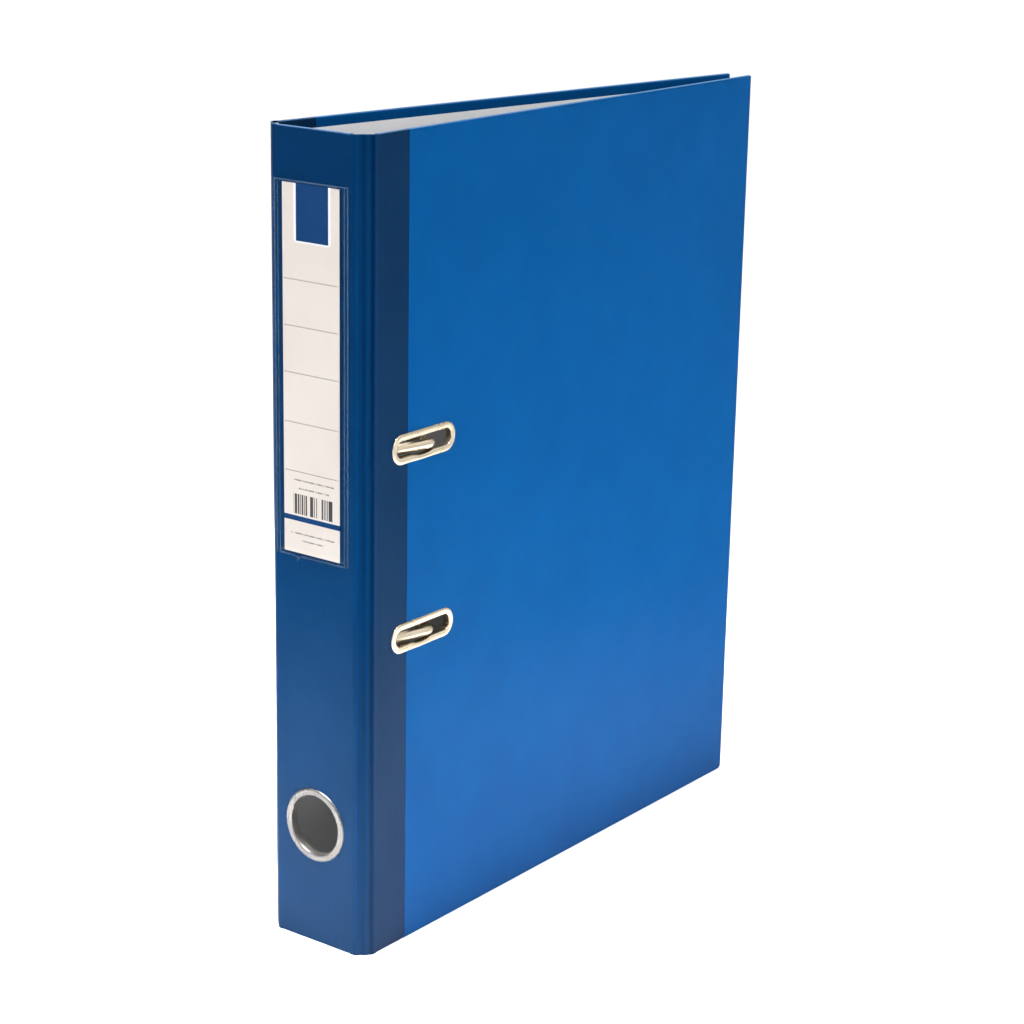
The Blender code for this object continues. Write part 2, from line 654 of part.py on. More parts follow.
def cheek_outline():
    """A cheek wraps the pin and tapers out under the top, clear of the crank."""
    around_pin = arc(LEVER_PIVOT, LEVER_CHEEK_RADIUS, -110, 60, 9)
    under_top = [(13.9 * MM, 27.0 * MM), (14.2 * MM, 20.0 * MM), (15.2 * MM, 13.0 * MM)]
    lower_edge = [(12.6 * MM, 14.5 * MM), (11.0 * MM, 19.0 * MM)]
    return around_pin + under_top + lower_edge


def build_lever(frames):
    frame = frames["lever"]
    pivot = LEVER_PIVOT
    path = [tuple(point) for point in rounded_path(lever_path(), 8 * MM, 3)]
    lever = outline_solid("lever", frame, "bright_nickel",
                          strip_outline(relative(path, pivot), SHEET), LEVER_WIDTH)
    cheeks = []
    for sign in (-1, 1):
        z = sign * (LEVER_WIDTH - SHEET) / 2
        outline = relative(cheek_outline(), pivot)
        cheeks.append(outline_solid("lever_cheek_%+d" % sign, frame, None, outline,
                                    SHEET - BITE, (0, 0, z)))
    boolean(lever, "UNION", cheeks)
    end = lever_path()[-1]
    roll_centre = (end[0] - pivot[0], end[1] - pivot[1] + 0.6 * MM, 0)
    roll = cylinder_cutter("lever_roll", frame, LEVER_ROLL_RADIUS, LEVER_WIDTH - BITE, roll_centre)
    boolean(lever, "UNION", [roll])
    bore = cylinder_cutter("lever_pin_bore", frame, LEVER_PIN_RADIUS + RUNNING_GAP, 2 * LEVER_WIDTH,
                           (0, 0, 0))
    boolean(lever, "DIFFERENCE", [bore])
    build_pin("lever_pin", frames["mechanism"], LEVER_PIVOT + (0,), LEVER_PIN_RADIUS,
              LEVER_EAR_OFFSET + SHEET / 2 + RUNNING_GAP)


def build_pin(name, frame, location, radius, half_grip):
    """A headed pin whose heads sit just outside the sheet that it passes through."""
    head = radius + PIN_HEAD_STEP
    end = half_grip + PIN_HEAD_THICKNESS
    profile = [(0.0, end), (head, end), (head, half_grip), (radius, half_grip),
               (radius, -half_grip), (head, -half_grip), (head, -end), (0.0, -end)]
    turned(name, frame, "bright_nickel", profile, location, UNTURNED, 20)


def build_spring(frame):
    """A leaf under the crank, held at its root by the bridge on the base plate."""
    path = [(3.95 * MM, 33.2 * MM), (3.95 * MM, 29.0 * MM), (4.6 * MM, 20.0 * MM), (4.5 * MM, 16.5 * MM)]
    outline = strip_outline(relative(path, SPRING_PIVOT), SPRING_THICKNESS)
    outline_solid("arch_spring", frame, "dull_nickel", outline, 2 * SPRING_HALF_WIDTH)


def build_compressor(frames):
    """The bar that holds the sheets down, with a latch that grips the lower post."""
    frame = frames["mechanism"]
    half = BAR_LENGTH / 2
    post = -RING_SPACING / 2
    bar = block("compressor_bar", frame, "bright_nickel", BAR_X, BAR_Y, (-half, half))
    lug_gap = LATCH_HALF_WIDTH + RUNNING_GAP
    lip_y = (BAR_Y[1] - SHEET, BAR_Y[1])
    lip_x = (BAR_X[0] + BITE, BAR_X[1] + BAR_LIP)
    added = [
        block("bar_lip_long", frame, None, lip_x, lip_y, (post + lug_gap + SHEET, half - BITE)),
        block("bar_lip_short", frame, None, lip_x, lip_y, (-half + BITE, post - lug_gap - SHEET)),
    ]
    lug_x = (BAR_X[1] - BITE, LATCH_PIVOT[0] + LATCH_LUG)
    lug_y = (LATCH_PIVOT[1] - LATCH_LUG, LATCH_PIVOT[1] + LATCH_LUG)
    for sign in (-1, 1):
        z = sorted((post + sign * lug_gap, post + sign * (lug_gap + SHEET)))
        added.append(block("latch_lug_%+d" % sign, frame, None, lug_x, lug_y, z))
    removed = []
    for sign in (-1, 1):
        centre = (BAR_X[0], POST_Y, sign * RING_SPACING / 2)
        removed.append(cylinder_cutter("bar_hole_%+d" % sign, frame, BAR_HOLE_RADIUS, CUTTER_LENGTH,
                                       centre, THICKNESS_ALONG_X))
    removed.append(cylinder_cutter("latch_bore", frame, LATCH_PIN_RADIUS + RUNNING_GAP,
                                   2 * (lug_gap + 2 * SHEET), LATCH_PIVOT + (post,)))
    boolean(bar, "UNION", added)
    boolean(bar, "DIFFERENCE", removed)
    build_latch(frames, post, lug_gap)


def build_latch(frames, post, lug_gap):
    """A spring-steel latch: its hole tilts against the post until the finger tab is pressed."""
    frame = frames["latch"]
    near, far = (y - LATCH_PIVOT[1] for y in LATCH_Y)
    thickness = (-LATCH_THICKNESS / 2, LATCH_THICKNESS / 2)
    z = (post - LATCH_HALF_WIDTH, post + LATCH_HALF_WIDTH)
    latch = block("compressor_latch", frame, "dull_nickel", thickness, (near, far), z)
    sleeve = cylinder_cutter("latch_sleeve", frame, LATCH_SLEEVE_RADIUS, 2 * LATCH_HALF_WIDTH - BITE,
                             (0, 0, post))
    boolean(latch, "UNION", [sleeve])
    hole = cylinder_cutter("latch_hole", frame, LATCH_HOLE_RADIUS, CUTTER_LENGTH,
                           (0, POST_Y - LATCH_PIVOT[1], post), THICKNESS_ALONG_X)
    bore = cylinder_cutter("latch_pin_bore", frame, LATCH_PIN_RADIUS + RUNNING_GAP, 4 * LATCH_HALF_WIDTH,
                           (0, 0, post))
    boolean(latch, "DIFFERENCE", [hole, bore])
    build_pin("latch_pin", frames["mechanism"], LATCH_PIVOT + (post,), LATCH_PIN_RADIUS,
              lug_gap + SHEET + RUNNING_GAP)


def build_rivets(frame):
    """Four rivets through the back cover and the base plate, domed on the outside."""
    grip = PLATE_X[1] + LAYER_GAP
    profile = [
        (0.0, grip + 0.9 * MM), (RIVET_TAIL_RADIUS * 0.6, grip + 0.8 * MM),
        (RIVET_TAIL_RADIUS, grip + 0.3 * MM),
        (RIVET_TAIL_RADIUS, grip), (RIVET_RADIUS, grip), (RIVET_RADIUS, -LAYER_GAP),
        (RIVET_HEAD_RADIUS, -LAYER_GAP), (RIVET_HEAD_RADIUS * 0.85, -0.55 * MM),
        (RIVET_HEAD_RADIUS * 0.5, -0.85 * MM), (0.0, -0.95 * MM),
    ]
    names = (("lower_spine", 0, -1), ("upper_spine", 0, 1), ("lower_fore", 1, -1), ("upper_fore", 1, 1))
    for name, column, sign in names:
        location = (0, RIVET_Y[column], sign * RIVET_OFFSET)
        turned("rivet_" + name, frame, "dull_nickel", profile, location, THICKNESS_ALONG_X, 20)


def rivet_hole_cutters(frame):
    cutters = {}
    for column, y in enumerate(RIVET_Y):
        for sign in (-1, 1):
            name = "rivet_cutter_%d_%+d" % (column, sign)
            cutters[(column, sign)] = cylinder_cutter(name, frame, RIVET_HOLE_RADIUS, CUTTER_LENGTH,
                                                      (0, y, sign * RIVET_OFFSET), THICKNESS_ALONG_X)
    return cutters


def build_mechanism(frames, back):
    frame = frames["mechanism"]
    holes = rivet_hole_cutters(frame)
    for piece in ("board", "lining"):
        boolean(back[piece], "DIFFERENCE", holes.values())
    boolean(back["margin"], "DIFFERENCE", [holes[(0, -1)], holes[(0, 1)]])
    boolean(back["paper"], "DIFFERENCE", [holes[(1, -1)], holes[(1, 1)]])
    build_base_plate(frame, holes.values())
    build_posts(frame)
    build_arch_wire(frames["arches"])
    build_lever(frames)
    build_spring(frames["spring"])
    build_compressor(frames)
    build_rivets(frame)


def main():
    frames = add_frames()
    back = build_covers(frames)
    build_spine(frames)
    build_label(frames)
    build_mechanism(frames, back)
    bpy.context.view_layer.update()


main()
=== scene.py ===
"""Looks for the lever arch file: cloth, paper, label, metal trim and the finishes of its mechanism.

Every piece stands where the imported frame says. Each wall of the case has its own flat axes:
'along' runs from the wall's crease, 'depth' runs from its outer face into the file, and z is up.
The cloth is one continuous path round the spine and both hinges, cut into pieces at the creases.
"""
import json
import math

import bmesh
import bpy
from mathutils import Matrix, Vector


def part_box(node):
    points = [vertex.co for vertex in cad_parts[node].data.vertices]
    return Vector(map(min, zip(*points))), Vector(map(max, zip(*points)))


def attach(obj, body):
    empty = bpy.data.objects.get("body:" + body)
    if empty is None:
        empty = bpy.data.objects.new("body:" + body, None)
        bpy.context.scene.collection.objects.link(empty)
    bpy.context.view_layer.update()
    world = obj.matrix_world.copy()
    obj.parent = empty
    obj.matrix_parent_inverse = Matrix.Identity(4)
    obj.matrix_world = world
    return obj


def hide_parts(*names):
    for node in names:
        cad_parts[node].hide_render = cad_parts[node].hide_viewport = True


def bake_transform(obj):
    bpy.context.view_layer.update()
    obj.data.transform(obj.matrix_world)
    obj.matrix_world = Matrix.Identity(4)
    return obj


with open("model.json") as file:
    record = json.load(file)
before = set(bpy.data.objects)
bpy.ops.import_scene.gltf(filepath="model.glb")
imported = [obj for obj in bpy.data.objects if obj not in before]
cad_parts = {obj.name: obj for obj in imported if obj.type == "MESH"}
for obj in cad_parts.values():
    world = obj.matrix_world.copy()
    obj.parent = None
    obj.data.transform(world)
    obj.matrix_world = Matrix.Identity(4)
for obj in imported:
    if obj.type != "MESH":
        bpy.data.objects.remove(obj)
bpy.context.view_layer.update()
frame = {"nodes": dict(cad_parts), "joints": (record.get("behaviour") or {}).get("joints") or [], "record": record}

MM = 0.001

# Skins of the case
CLOTH = 0.2 * MM
PAPER = 0.12 * MM
LINING = 0.1 * MM
FILM = 0.1 * MM
PAPER_LIFT = 0.12 * MM          # the cover paper lies over the edge of the cloth
CLOTH_UNDERLAP = 2.5 * MM
LINING_OVERLAP = 0.8 * MM
TURN_IN = 5 * MM
EDGE_ROUND = 0.85 * MM
BOARD_INSET = 0.85 * MM         # the boards stand back from the rounded edges of their wrappings
TOP_CORNER = 0.9 * MM
BOTTOM_CORNER = 2.2 * MM
GUARD = 0.4 * MM                # a flat strip beside each rounded edge keeps its shading off the face

# Hinge strips
HINGE_DEPTH = 0.5 * MM
CREASE_RADIUS = 2.2 * MM
CREASE_REACH = 2.4 * MM         # how far a hinge piece runs onto the wall beside it
HINGE_STEP = 0.35 * MM
LINING_REACH = 0.6 * MM         # how far a hinge's lining runs past its own crease
BEND_REACH = 1.6 * MM           # hinge_pieces takes a point this far on either side of a crease; nothing uses these points
CORNER_STEPS = 8
# Low ridges and grooves pressed along each hinge: place across it as a share, height and half-width in mm
HINGE_RIDGES = ((0.12, 0.16, 0.75), (0.36, -0.2, 0.9), (0.6, 0.12, 0.6), (0.86, -0.22, 0.8))

# Camera, from the file's own origin
CAMERA_PLACE = (0.7098, -0.9095, 0.480)
CAMERA_AZIMUTH = 38.35
CAMERA_ELEVATION = 17.85
CAMERA_ROLL = 1.11
CAMERA_LENS = 94.1
CAMERA_SHIFT = (0.0, 0.1073)

# Studio light
SKYLINE = 0.10                  # the white floor seems to go on up to this height of the surroundings
SKYLINE_GLOW = 1.15
HORIZON = 0.05                  # the sky's light at the horizon, and straight above
CEILING = 1.85
POOL_SPREAD = 22
FLOOR_WHITE = (0.79, 0.79, 0.79, 1)


# Axes -------------------------------------------------------------------------------------------

CREASES = {joint["name"]: Vector(joint["pos_m"][:2]) for joint in frame["joints"] if "pos_m" in joint}
BACK_CREASE = CREASES["back_fold"]
SPINE_START = CREASES["spine_fold"]
SPINE_END = CREASES["front_fold"]
FRONT_CREASE = CREASES["front_cover_swing"]


def to_left(direction):
    return Vector((-direction.y, direction.x))


class Wall:
    """The flat axes of one wall of the case."""

    def __init__(self, origin, toward, side):
        self.origin = origin
        self.along = (toward - origin).normalized()
        self.depth = to_left(self.along) * side
        self.side = side

    def at(self, along, depth, z):
        flat = self.origin + self.along * along + self.depth * depth
        return Vector((flat.x, flat.y, z))

    def local(self, point):
        offset = Vector(point[:2]) - self.origin
        return offset.dot(self.along), offset.dot(self.depth), point[2]

    def span(self, node):
        """Lowest and highest along, depth and z of a CAD node."""
        points = [self.local(vert.co) for vert in frame["nodes"][node].data.vertices]
        return [(min(values), max(values)) for values in zip(*points)]


def far_corner(node):
    """The outer corner of a cover that is farthest from the spine."""
    return Vector(max((vert.co for vert in frame["nodes"][node].data.vertices), key=lambda co: co.y)[:2])


SPINE = Wall(SPINE_START, SPINE_END, 1)
FRONT = Wall(FRONT_CREASE, far_corner("front_cover_paper"), 1)
BACK = Wall(BACK_CREASE, far_corner("back_cover_paper"), -1)
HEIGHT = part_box("spine_cloth")[1].z
WALL = SPINE.span("spine_lining")[1][1]
COVER_LENGTH = FRONT.span("front_cover_paper")[0][1]
CLOTH_MARGIN = FRONT.span("front_cloth_margin")[0][1]
SPINE_WIDTH = (SPINE_END - SPINE_START).length
CUT_DEPTHS = (-2 * MM, 2 * WALL)


# Shader nodes -----------------------------------------------------------------------------------

def add_node(tree, kind, settings=(), **inputs):
    """A shader node. Inputs are numbers, colours or sockets, named with _ for a space."""
    made = tree.nodes.new("ShaderNode" + kind)
    for name, value in dict(settings).items():
        setattr(made, name, value)
    for name, value in inputs.items():
        socket = made.inputs[int(name[2:])] if name.startswith("in") and name[2:].isdigit() else \
            made.inputs[name.replace("_", " ")]
        if isinstance(value, bpy.types.NodeSocket):
            tree.links.new(value, socket)
        else:
            socket.default_value = value
    return made


def calc(tree, operation, first, second=0.0):
    return add_node(tree, "Math", {"operation": operation}, in0=first, in1=second).outputs[0]


def noise(tree, where, scale, detail=3.0, roughness=0.5):
    made = add_node(tree, "TexNoise", Vector=where, Scale=scale, Detail=detail, Roughness=roughness)
    return made.outputs["Fac"]


def remap(tree, value, low, high, to_low, to_high):
    made = add_node(tree, "MapRange", Value=value, From_Min=low, From_Max=high, To_Min=to_low, To_Max=to_high)
    return made.outputs["Result"]


def blend_colour(tree, factor, first, second):
    made = add_node(tree, "Mix", {"data_type": "RGBA"}, in0=factor, in6=first, in7=second)
    return made.outputs[2]


def stretched(tree, where, scale):
    return add_node(tree, "Mapping", {"vector_type": "POINT"}, Vector=where, Scale=scale).outputs[0]


def bump(tree, height, distance, normal=None):
    made = add_node(tree, "Bump", Height=height, Distance=distance, Strength=1.0)
    if normal is not None:
        tree.links.new(normal, made.inputs["Normal"])
    return made.outputs[0]


def new_material(name, uses_uv=False, **shader_values):
    """A material with its shader and the coordinates that its pattern is drawn in."""
    material = bpy.data.materials.new(name)
    material.use_nodes = True
    tree = material.node_tree
    shader = tree.nodes["Principled BSDF"]
    for key, value in shader_values.items():
        shader.inputs[key.replace("_", " ")].default_value = value
    if uses_uv:
        where = add_node(tree, "UVMap", {"uv_map": "cloth"}).outputs[0]
    else:
        where = add_node(tree, "TexCoord").outputs["Object"]
    return material, tree, shader, where


def painted_edge_highlight(tree, colour, worn, amount):
    """Painted highlight on the top and bottom edges: faces turned up or down are lightened towards a paler colour.
    """
    normal = add_node(tree, "TexCoord").outputs["Normal"]
    upright = calc(tree, "ABSOLUTE", add_node(tree, "SeparateXYZ", Vector=normal).outputs[2])
    return blend_colour(tree, remap(tree, upright, 0.5, 0.98, 0.0, amount), colour, worn)


def painted_floor_reflection(tree, colour, height, reach, added):
    """Painted reflection of the white floor: towards the foot the colour is made paler."""
    share = remap(tree, height, 0.0, reach, 1.0, 0.0)
    paler = add_node(tree, "VectorMath", {"operation": "SCALE"}, in0=added, Scale=share).outputs[0]
    return add_node(tree, "VectorMath", {"operation": "ADD"}, in0=colour, in1=paler).outputs[0]


def finish_shader(tree, shader, colour=None, roughness=None, normal=None):
    for name, socket in (("Base Color", colour), ("Roughness", roughness), ("Normal", normal)):
        if socket is not None:
            tree.links.new(socket, shader.inputs[name])


# Mesh helpers -----------------------------------------------------------------------------------

def new_object(name, mesh, materials):
    obj = bpy.data.objects.new(name, mesh)
    bpy.context.scene.collection.objects.link(obj)
    for material in materials:
        mesh.materials.append(MATERIALS[material])
    return obj


def grid_object(name, rows, materials, uv_rows=None, closed=False, flip=False):
    """A sheet through rows of points, with a UV for each point if uv_rows is given."""
    count = len(rows[0])
    verts = [point for row in rows for point in row]
    columns = range(count if closed else count - 1)
    faces = []
    for i in range(len(rows) - 1):
        for j in columns:
            k = (j + 1) % count
            faces.append((i * count + j, (i + 1) * count + j, (i + 1) * count + k, i * count + k))
    if flip:
        faces = [face[::-1] for face in faces]
    mesh = bpy.data.meshes.new(name)
    mesh.from_pydata(verts, [], faces)
    if uv_rows:
        layer = mesh.uv_layers.new(name="cloth")
        flat = [uv for row in uv_rows for uv in row]
        for loop in mesh.loops:
            layer.data[loop.index].uv = flat[loop.vertex_index]
    mesh.shade_smooth()
    return new_object(name, mesh, materials)


def settle(obj, sharp_degrees=35):
    """Apply the modifiers and keep real edges crisp."""
    evaluated = obj.evaluated_get(bpy.context.evaluated_depsgraph_get())
    mesh = bpy.data.meshes.new_from_object(evaluated)
    mesh.name = obj.name
    old = obj.data
    obj.modifiers.clear()
    obj.data = mesh
    bpy.data.meshes.remove(old)
    mesh.shade_smooth()
    mesh.set_sharp_from_angle(angle=math.radians(sharp_degrees))
    return obj


def thicken(obj, thickness, cutters=()):
    """Give a sheet its thickness on the inner side, then cut its holes."""
    solid = obj.modifiers.new("thickness", "SOLIDIFY")
    solid.thickness = thickness
    solid.offset = -1
    return cut_holes(obj, cutters)


def cut_holes(obj, cutters):
    for cutter in cutters:
        hole = obj.modifiers.new("hole", "BOOLEAN")
        hole.operation = "DIFFERENCE"
        hole.solver = "EXACT"
        hole.object = cutter
    bpy.context.view_layer.update()
    return settle(obj)


def arc(centre, radius, start, end, steps):
    angles = [math.radians(start + (end - start) * i / steps) for i in range(steps + 1)]
    return [(centre[0] + radius * math.cos(a), centre[1] + radius * math.sin(a)) for a in angles]


def racetrack(centre, length, width, steps):
    """Stations round a slot: each is its point and its outward direction."""
    radius = width / 2
    half = length / 2 - radius
    stations = []
    for side, start in ((1, -90), (-1, 90)):
        for i in range(steps + 1):
            angle = math.radians(start + 180 * i / steps)
            out = Vector((math.cos(angle), math.sin(angle)))
            stations.append((Vector((centre[0] + side * half, centre[1])) + out * radius, out))
        here, there = stations[-1][0], stations[-1][0] - Vector((side * 2 * half, 0))
        for i in range(1, steps):
            stations.append((here.lerp(there, i / steps), stations[-1][1].copy()))
    return stations


def prism(name, wall, outline, depths):
    """A cutter: an outline in a wall's along and z, between two depths."""
    bm = bmesh.new()
    loops = [[bm.verts.new(wall.at(a, depth, z)) for a, z in outline] for depth in depths]
    bm.faces.new(loops[0])
    bm.faces.new(loops[1][::-1])
    for i in range(len(outline)):
        j = (i + 1) % len(outline)
        bm.faces.new((loops[0][i], loops[1][i], loops[1][j], loops[0][j]))
    bmesh.ops.recalc_face_normals(bm, faces=bm.faces)
    mesh = bpy.data.meshes.new(name)
    bm.to_mesh(mesh)
    bm.free()
    obj = bpy.data.objects.new(name, mesh)
    bpy.context.scene.collection.objects.link(obj)
    return obj


def place_piece(obj, body, slot, *nodes):
    """A finished piece rides on its body and stands for its CAD nodes."""
    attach(obj, body)
    if nodes:
        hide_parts(*nodes)
    return obj


# Cloth ------------------------------------------------------------------------------------------

class Station:
    """One upright line of the case's outer face: its place, the way inward and its run."""

    def __init__(self, place, inward, run):
        self.place = place
        self.inward = inward
        self.run = run

    def at(self, depth, z):
        flat = self.place + self.inward * depth
        return Vector((flat.x, flat.y, z))


def crease_relief(run, creases):
    """How far the cloth stands out beside its pressed creases, at a run along the path."""
    relief = 0.0
    for start, end in creases:
        width = end - start
        for share, height, spread in HINGE_RIDGES:
            offset = (run - (start + share * width)) / (spread * MM)
            relief += height * MM * math.exp(-offset * offset)
    return relief


def case_path():
    """Stations round the outside of the case, from one cloth edge to the other."""
    margin = CLOTH_MARGIN + CLOTH_UNDERLAP
    corners = [Vector(BACK.at(margin, 0, 0)[:2]), BACK_CREASE, SPINE_START, SPINE_END, FRONT_CREASE,
               Vector(FRONT.at(margin, 0, 0)[:2])]
    points = [corners[0]]
    for before, corner, after in zip(corners, corners[1:], corners[2:]):
        to_before = (before - corner).normalized()
        to_after = (after - corner).normalized()
        reach = CREASE_RADIUS / math.tan(to_before.angle(to_after) / 2)
        start, end = corner + to_before * reach, corner + to_after * reach
        for i in range(CORNER_STEPS + 1):
            t = i / CORNER_STEPS
            points.append(start * (1 - t) ** 2 + corner * 2 * t * (1 - t) + end * t ** 2)
    points.append(corners[-1])
    return points, corners


def resample(points, low, high, step):
    """Points at even steps of run between two runs of a path."""
    count = max(1, round((high - low) / step))
    wanted = [low + (high - low) * i / count for i in range(count + 1)]
    found, walked, i = [], 0.0, 0
    for run in wanted:
        while i < len(points) - 2 and walked + (points[i + 1] - points[i]).length < run:
            walked += (points[i + 1] - points[i]).length
            i += 1
        length = (points[i + 1] - points[i]).length
        found.append((points[i].lerp(points[i + 1], (run - walked) / length), run))
    return found


PATH_POINTS, PATH_CORNERS = case_path()


def run_of(target):
    """The run along the path of the point on it nearest to a target."""
    walked, best = 0.0, (1e9, 0.0)
    for here, there in zip(PATH_POINTS, PATH_POINTS[1:]):
        length = (there - here).length
        share = min(1.0, max(0.0, (target - here).dot(there - here) / length ** 2))
        best = min(best, ((here.lerp(there, share) - target).length, walked + share * length))
        walked += length
    return best[1]


CREASE_RUNS = [run_of(corner) for corner in PATH_CORNERS[1:5]]
PATH_END = sum((there - here).length for here, there in zip(PATH_POINTS, PATH_POINTS[1:]))
HINGE_RUNS = (tuple(CREASE_RUNS[0:2]), tuple(CREASE_RUNS[2:4]))


def stations(low, high, step):
    """Stations between two runs, pushed out or in by the crease relief."""
    margin = 0.5 * HINGE_STEP
    samples = resample(PATH_POINTS, low, high, step)
    found = []
    for place, run in samples:
        near = resample(PATH_POINTS, max(0, run - margin), min(PATH_END, run + margin), 2 * margin)
        inward = to_left((near[-1][0] - near[0][0]).normalized())
        found.append(Station(place - inward * crease_relief(run, HINGE_RUNS), inward, run))
    return found


# Materials --------------------------------------------------------------------------------------

def peak(tree, value, centre, width, height):
    """A smooth bump of tone at one value."""
    away = calc(tree, "DIVIDE", calc(tree, "ABSOLUTE", calc(tree, "SUBTRACT", value, centre)), width)
    made = add_node(tree, "MapRange", {"interpolation_type": "SMOOTHSTEP"}, Value=away,
                    From_Min=1.0, From_Max=0.0, To_Min=0.0, To_Max=height)
    return made.outputs["Result"]


def painted_crease_shading(tree, run):
    """Painted light and shade on each hinge: painted highlight lines beside its spine crease, and a painted dark
    valley of shade at its cover crease.
    """
    total = 0.0
    for cover_crease, spine_crease, turn in ((CREASE_RUNS[0], CREASE_RUNS[1], -1),
                                             (CREASE_RUNS[3], CREASE_RUNS[2], 1)):
        for centre, width, height in ((spine_crease + turn * 0.9 * MM, 1.1 * MM, 0.26),
                                      (spine_crease + turn * 3.6 * MM, 1.3 * MM, -0.22),
                                      (spine_crease + turn * 5.3 * MM, 0.5 * MM, 0.2),
                                      (cover_crease - turn * 0.2 * MM, 1.7 * MM, -0.5)):
            total = calc(tree, "ADD", total, peak(tree, run, centre, width, height))
    return total


def cloth_material(name, dark, light, streaks, floor_reflection_colour):
    """Coated book cloth: a fine linen grain under a half-glossy coat, with painted light and shade at the hinge
    creases, a painted edge highlight and a painted floor reflection towards the foot.
    """
    material, tree, shader, where = new_material(name, uses_uv=True, IOR=1.09,
                                                 Specular_Tint=(0.2, 0.6, 1.0, 1))
    split = add_node(tree, "SeparateXYZ", Vector=where)
    pitch = 0.5 * MM
    warp = calc(tree, "SINE", calc(tree, "MULTIPLY", split.outputs[0], 2 * math.pi / pitch))
    weft = calc(tree, "SINE", calc(tree, "MULTIPLY", split.outputs[1], 2 * math.pi / pitch))
    weave = calc(tree, "MULTIPLY", warp, weft)
    slub = noise(tree, stretched(tree, where, (900.0, 30.0, 1.0)), 1.0, 3.0)
    drift = noise(tree, where, 28.0, 4.0)
    tone = calc(tree, "ADD", calc(tree, "MULTIPLY", slub, streaks),
                calc(tree, "MULTIPLY", drift, 1 - streaks))
    colour = blend_colour(tree, remap(tree, tone, 0.32, 0.68, 0.0, 1.0), dark, light)
    # painted light and shade across the hinges: lighter beside the spine creases, darker at the cover creases
    crease = calc(tree, "ADD", 1.0, painted_crease_shading(tree, split.outputs[0]))
    colour = add_node(tree, "VectorMath", {"operation": "SCALE"}, in0=colour, Scale=crease).outputs[0]
    # painted reflection of the white floor, paler towards the foot
    colour = painted_floor_reflection(tree, colour, split.outputs[1], CLOTH_FLOOR_REFLECTION_HEIGHT, floor_reflection_colour)
    # painted highlight on the top and bottom edges
    colour = painted_edge_highlight(tree, colour, CLOTH_EDGE_HIGHLIGHT, EDGE_HIGHLIGHT_STRENGTH)
    grain = bump(tree, weave, 0.006 * MM)
    grain = bump(tree, slub, 0.02 * MM, grain)
    grain = bump(tree, noise(tree, where, 60.0, 2.0), 0.12 * MM, grain)
    rough = remap(tree, noise(tree, where, 160.0, 5.0), 0.3, 0.7, 0.36, 0.47)
    finish_shader(tree, shader, colour, rough, grain)
    return material


def paper_material(name, dark, light, rough_range, fibre=0.012 * MM, sheen=(1, 1, 1, 1), ior=1.45,
                   worn=None):
    """Printed or plain paper: a faint mottle, fine fibres and a slow waviness from its glue."""
    material, tree, shader, where = new_material(name, IOR=ior, Specular_Tint=sheen)
    mottle = noise(tree, where, 35.0, 5.0, 0.6)
    speck = noise(tree, where, 1800.0, 3.0, 0.6)
    tone = calc(tree, "ADD", calc(tree, "MULTIPLY", mottle, 0.75), calc(tree, "MULTIPLY", speck, 0.25))
    colour = blend_colour(tree, remap(tree, tone, 0.35, 0.65, 0.0, 1.0), dark, light)
    if worn:
        height = add_node(tree, "SeparateXYZ", Vector=where).outputs[2]
        # painted reflection of the white floor on the cover paper, paler towards the foot
        colour = painted_floor_reflection(tree, colour, height, COVER_FLOOR_REFLECTION_HEIGHT, (0.008, 0.009, 0.019))
        # painted highlight on the top and bottom edges of the cover paper
        colour = painted_edge_highlight(tree, colour, worn, EDGE_HIGHLIGHT_STRENGTH)
    surface = bump(tree, noise(tree, where, 2600.0, 4.0, 0.65), fibre)
    surface = bump(tree, noise(tree, where, 22.0, 2.0), 0.2 * MM, surface)
    rough = remap(tree, noise(tree, where, 300.0, 4.0), 0.3, 0.7, *rough_range)
    finish_shader(tree, shader, colour, rough, surface)
    return material


def nickel_material(name, colour, tint, rough_range, scratch):
    """Nickel plate, with the fine drawing marks of pressed steel and a slight yellow tarnish."""
    material, tree, shader, where = new_material(name, Metallic=1.0)
    cloud = noise(tree, where, 90.0, 4.0)
    tone = blend_colour(tree, remap(tree, cloud, 0.35, 0.7, 0.0, 1.0), colour, tint)
    marks = noise(tree, stretched(tree, where, (900.0, 900.0, 60.0)), 1.0, 4.0)
    rough = remap(tree, calc(tree, "ADD", cloud, marks), 0.7, 1.3, *rough_range)
    softened = add_node(tree, "Bevel", {"samples": 4}, Radius=0.12 * MM).outputs[0]
    finish_shader(tree, shader, tone, rough, bump(tree, marks, scratch, softened))
    return material


def greyboard_material(name):
    material, tree, shader, where = new_material(name, IOR=1.4)
    speck = noise(tree, where, 700.0, 6.0, 0.7)
    colour = blend_colour(tree, remap(tree, speck, 0.35, 0.65, 0.0, 1.0),
                          (0.2, 0.19, 0.17, 1), (0.42, 0.4, 0.37, 1))
    layers = noise(tree, stretched(tree, where, (4000.0, 4000.0, 300.0)), 1.0, 2.0)
    rough = remap(tree, speck, 0.3, 0.7, 0.8, 0.95)
    finish_shader(tree, shader, colour, rough, bump(tree, layers, 0.03 * MM))
    return material


def film_material(name, colour, alpha, rough_range):
    """Clear soft film. It lets most light through and keeps a wavy gloss."""
    material, tree, shader, where = new_material(name, IOR=1.5, Alpha=alpha, Specular_IOR_Level=0.8)
    haze = noise(tree, where, 120.0, 4.0)
    tone = blend_colour(tree, haze, colour, tuple(0.86 * part for part in colour[:3]) + (1,))
    rough = remap(tree, haze, 0.3, 0.7, *rough_range)
    finish_shader(tree, shader, tone, rough, bump(tree, noise(tree, where, 45.0, 2.0), 0.03 * MM))
    return material


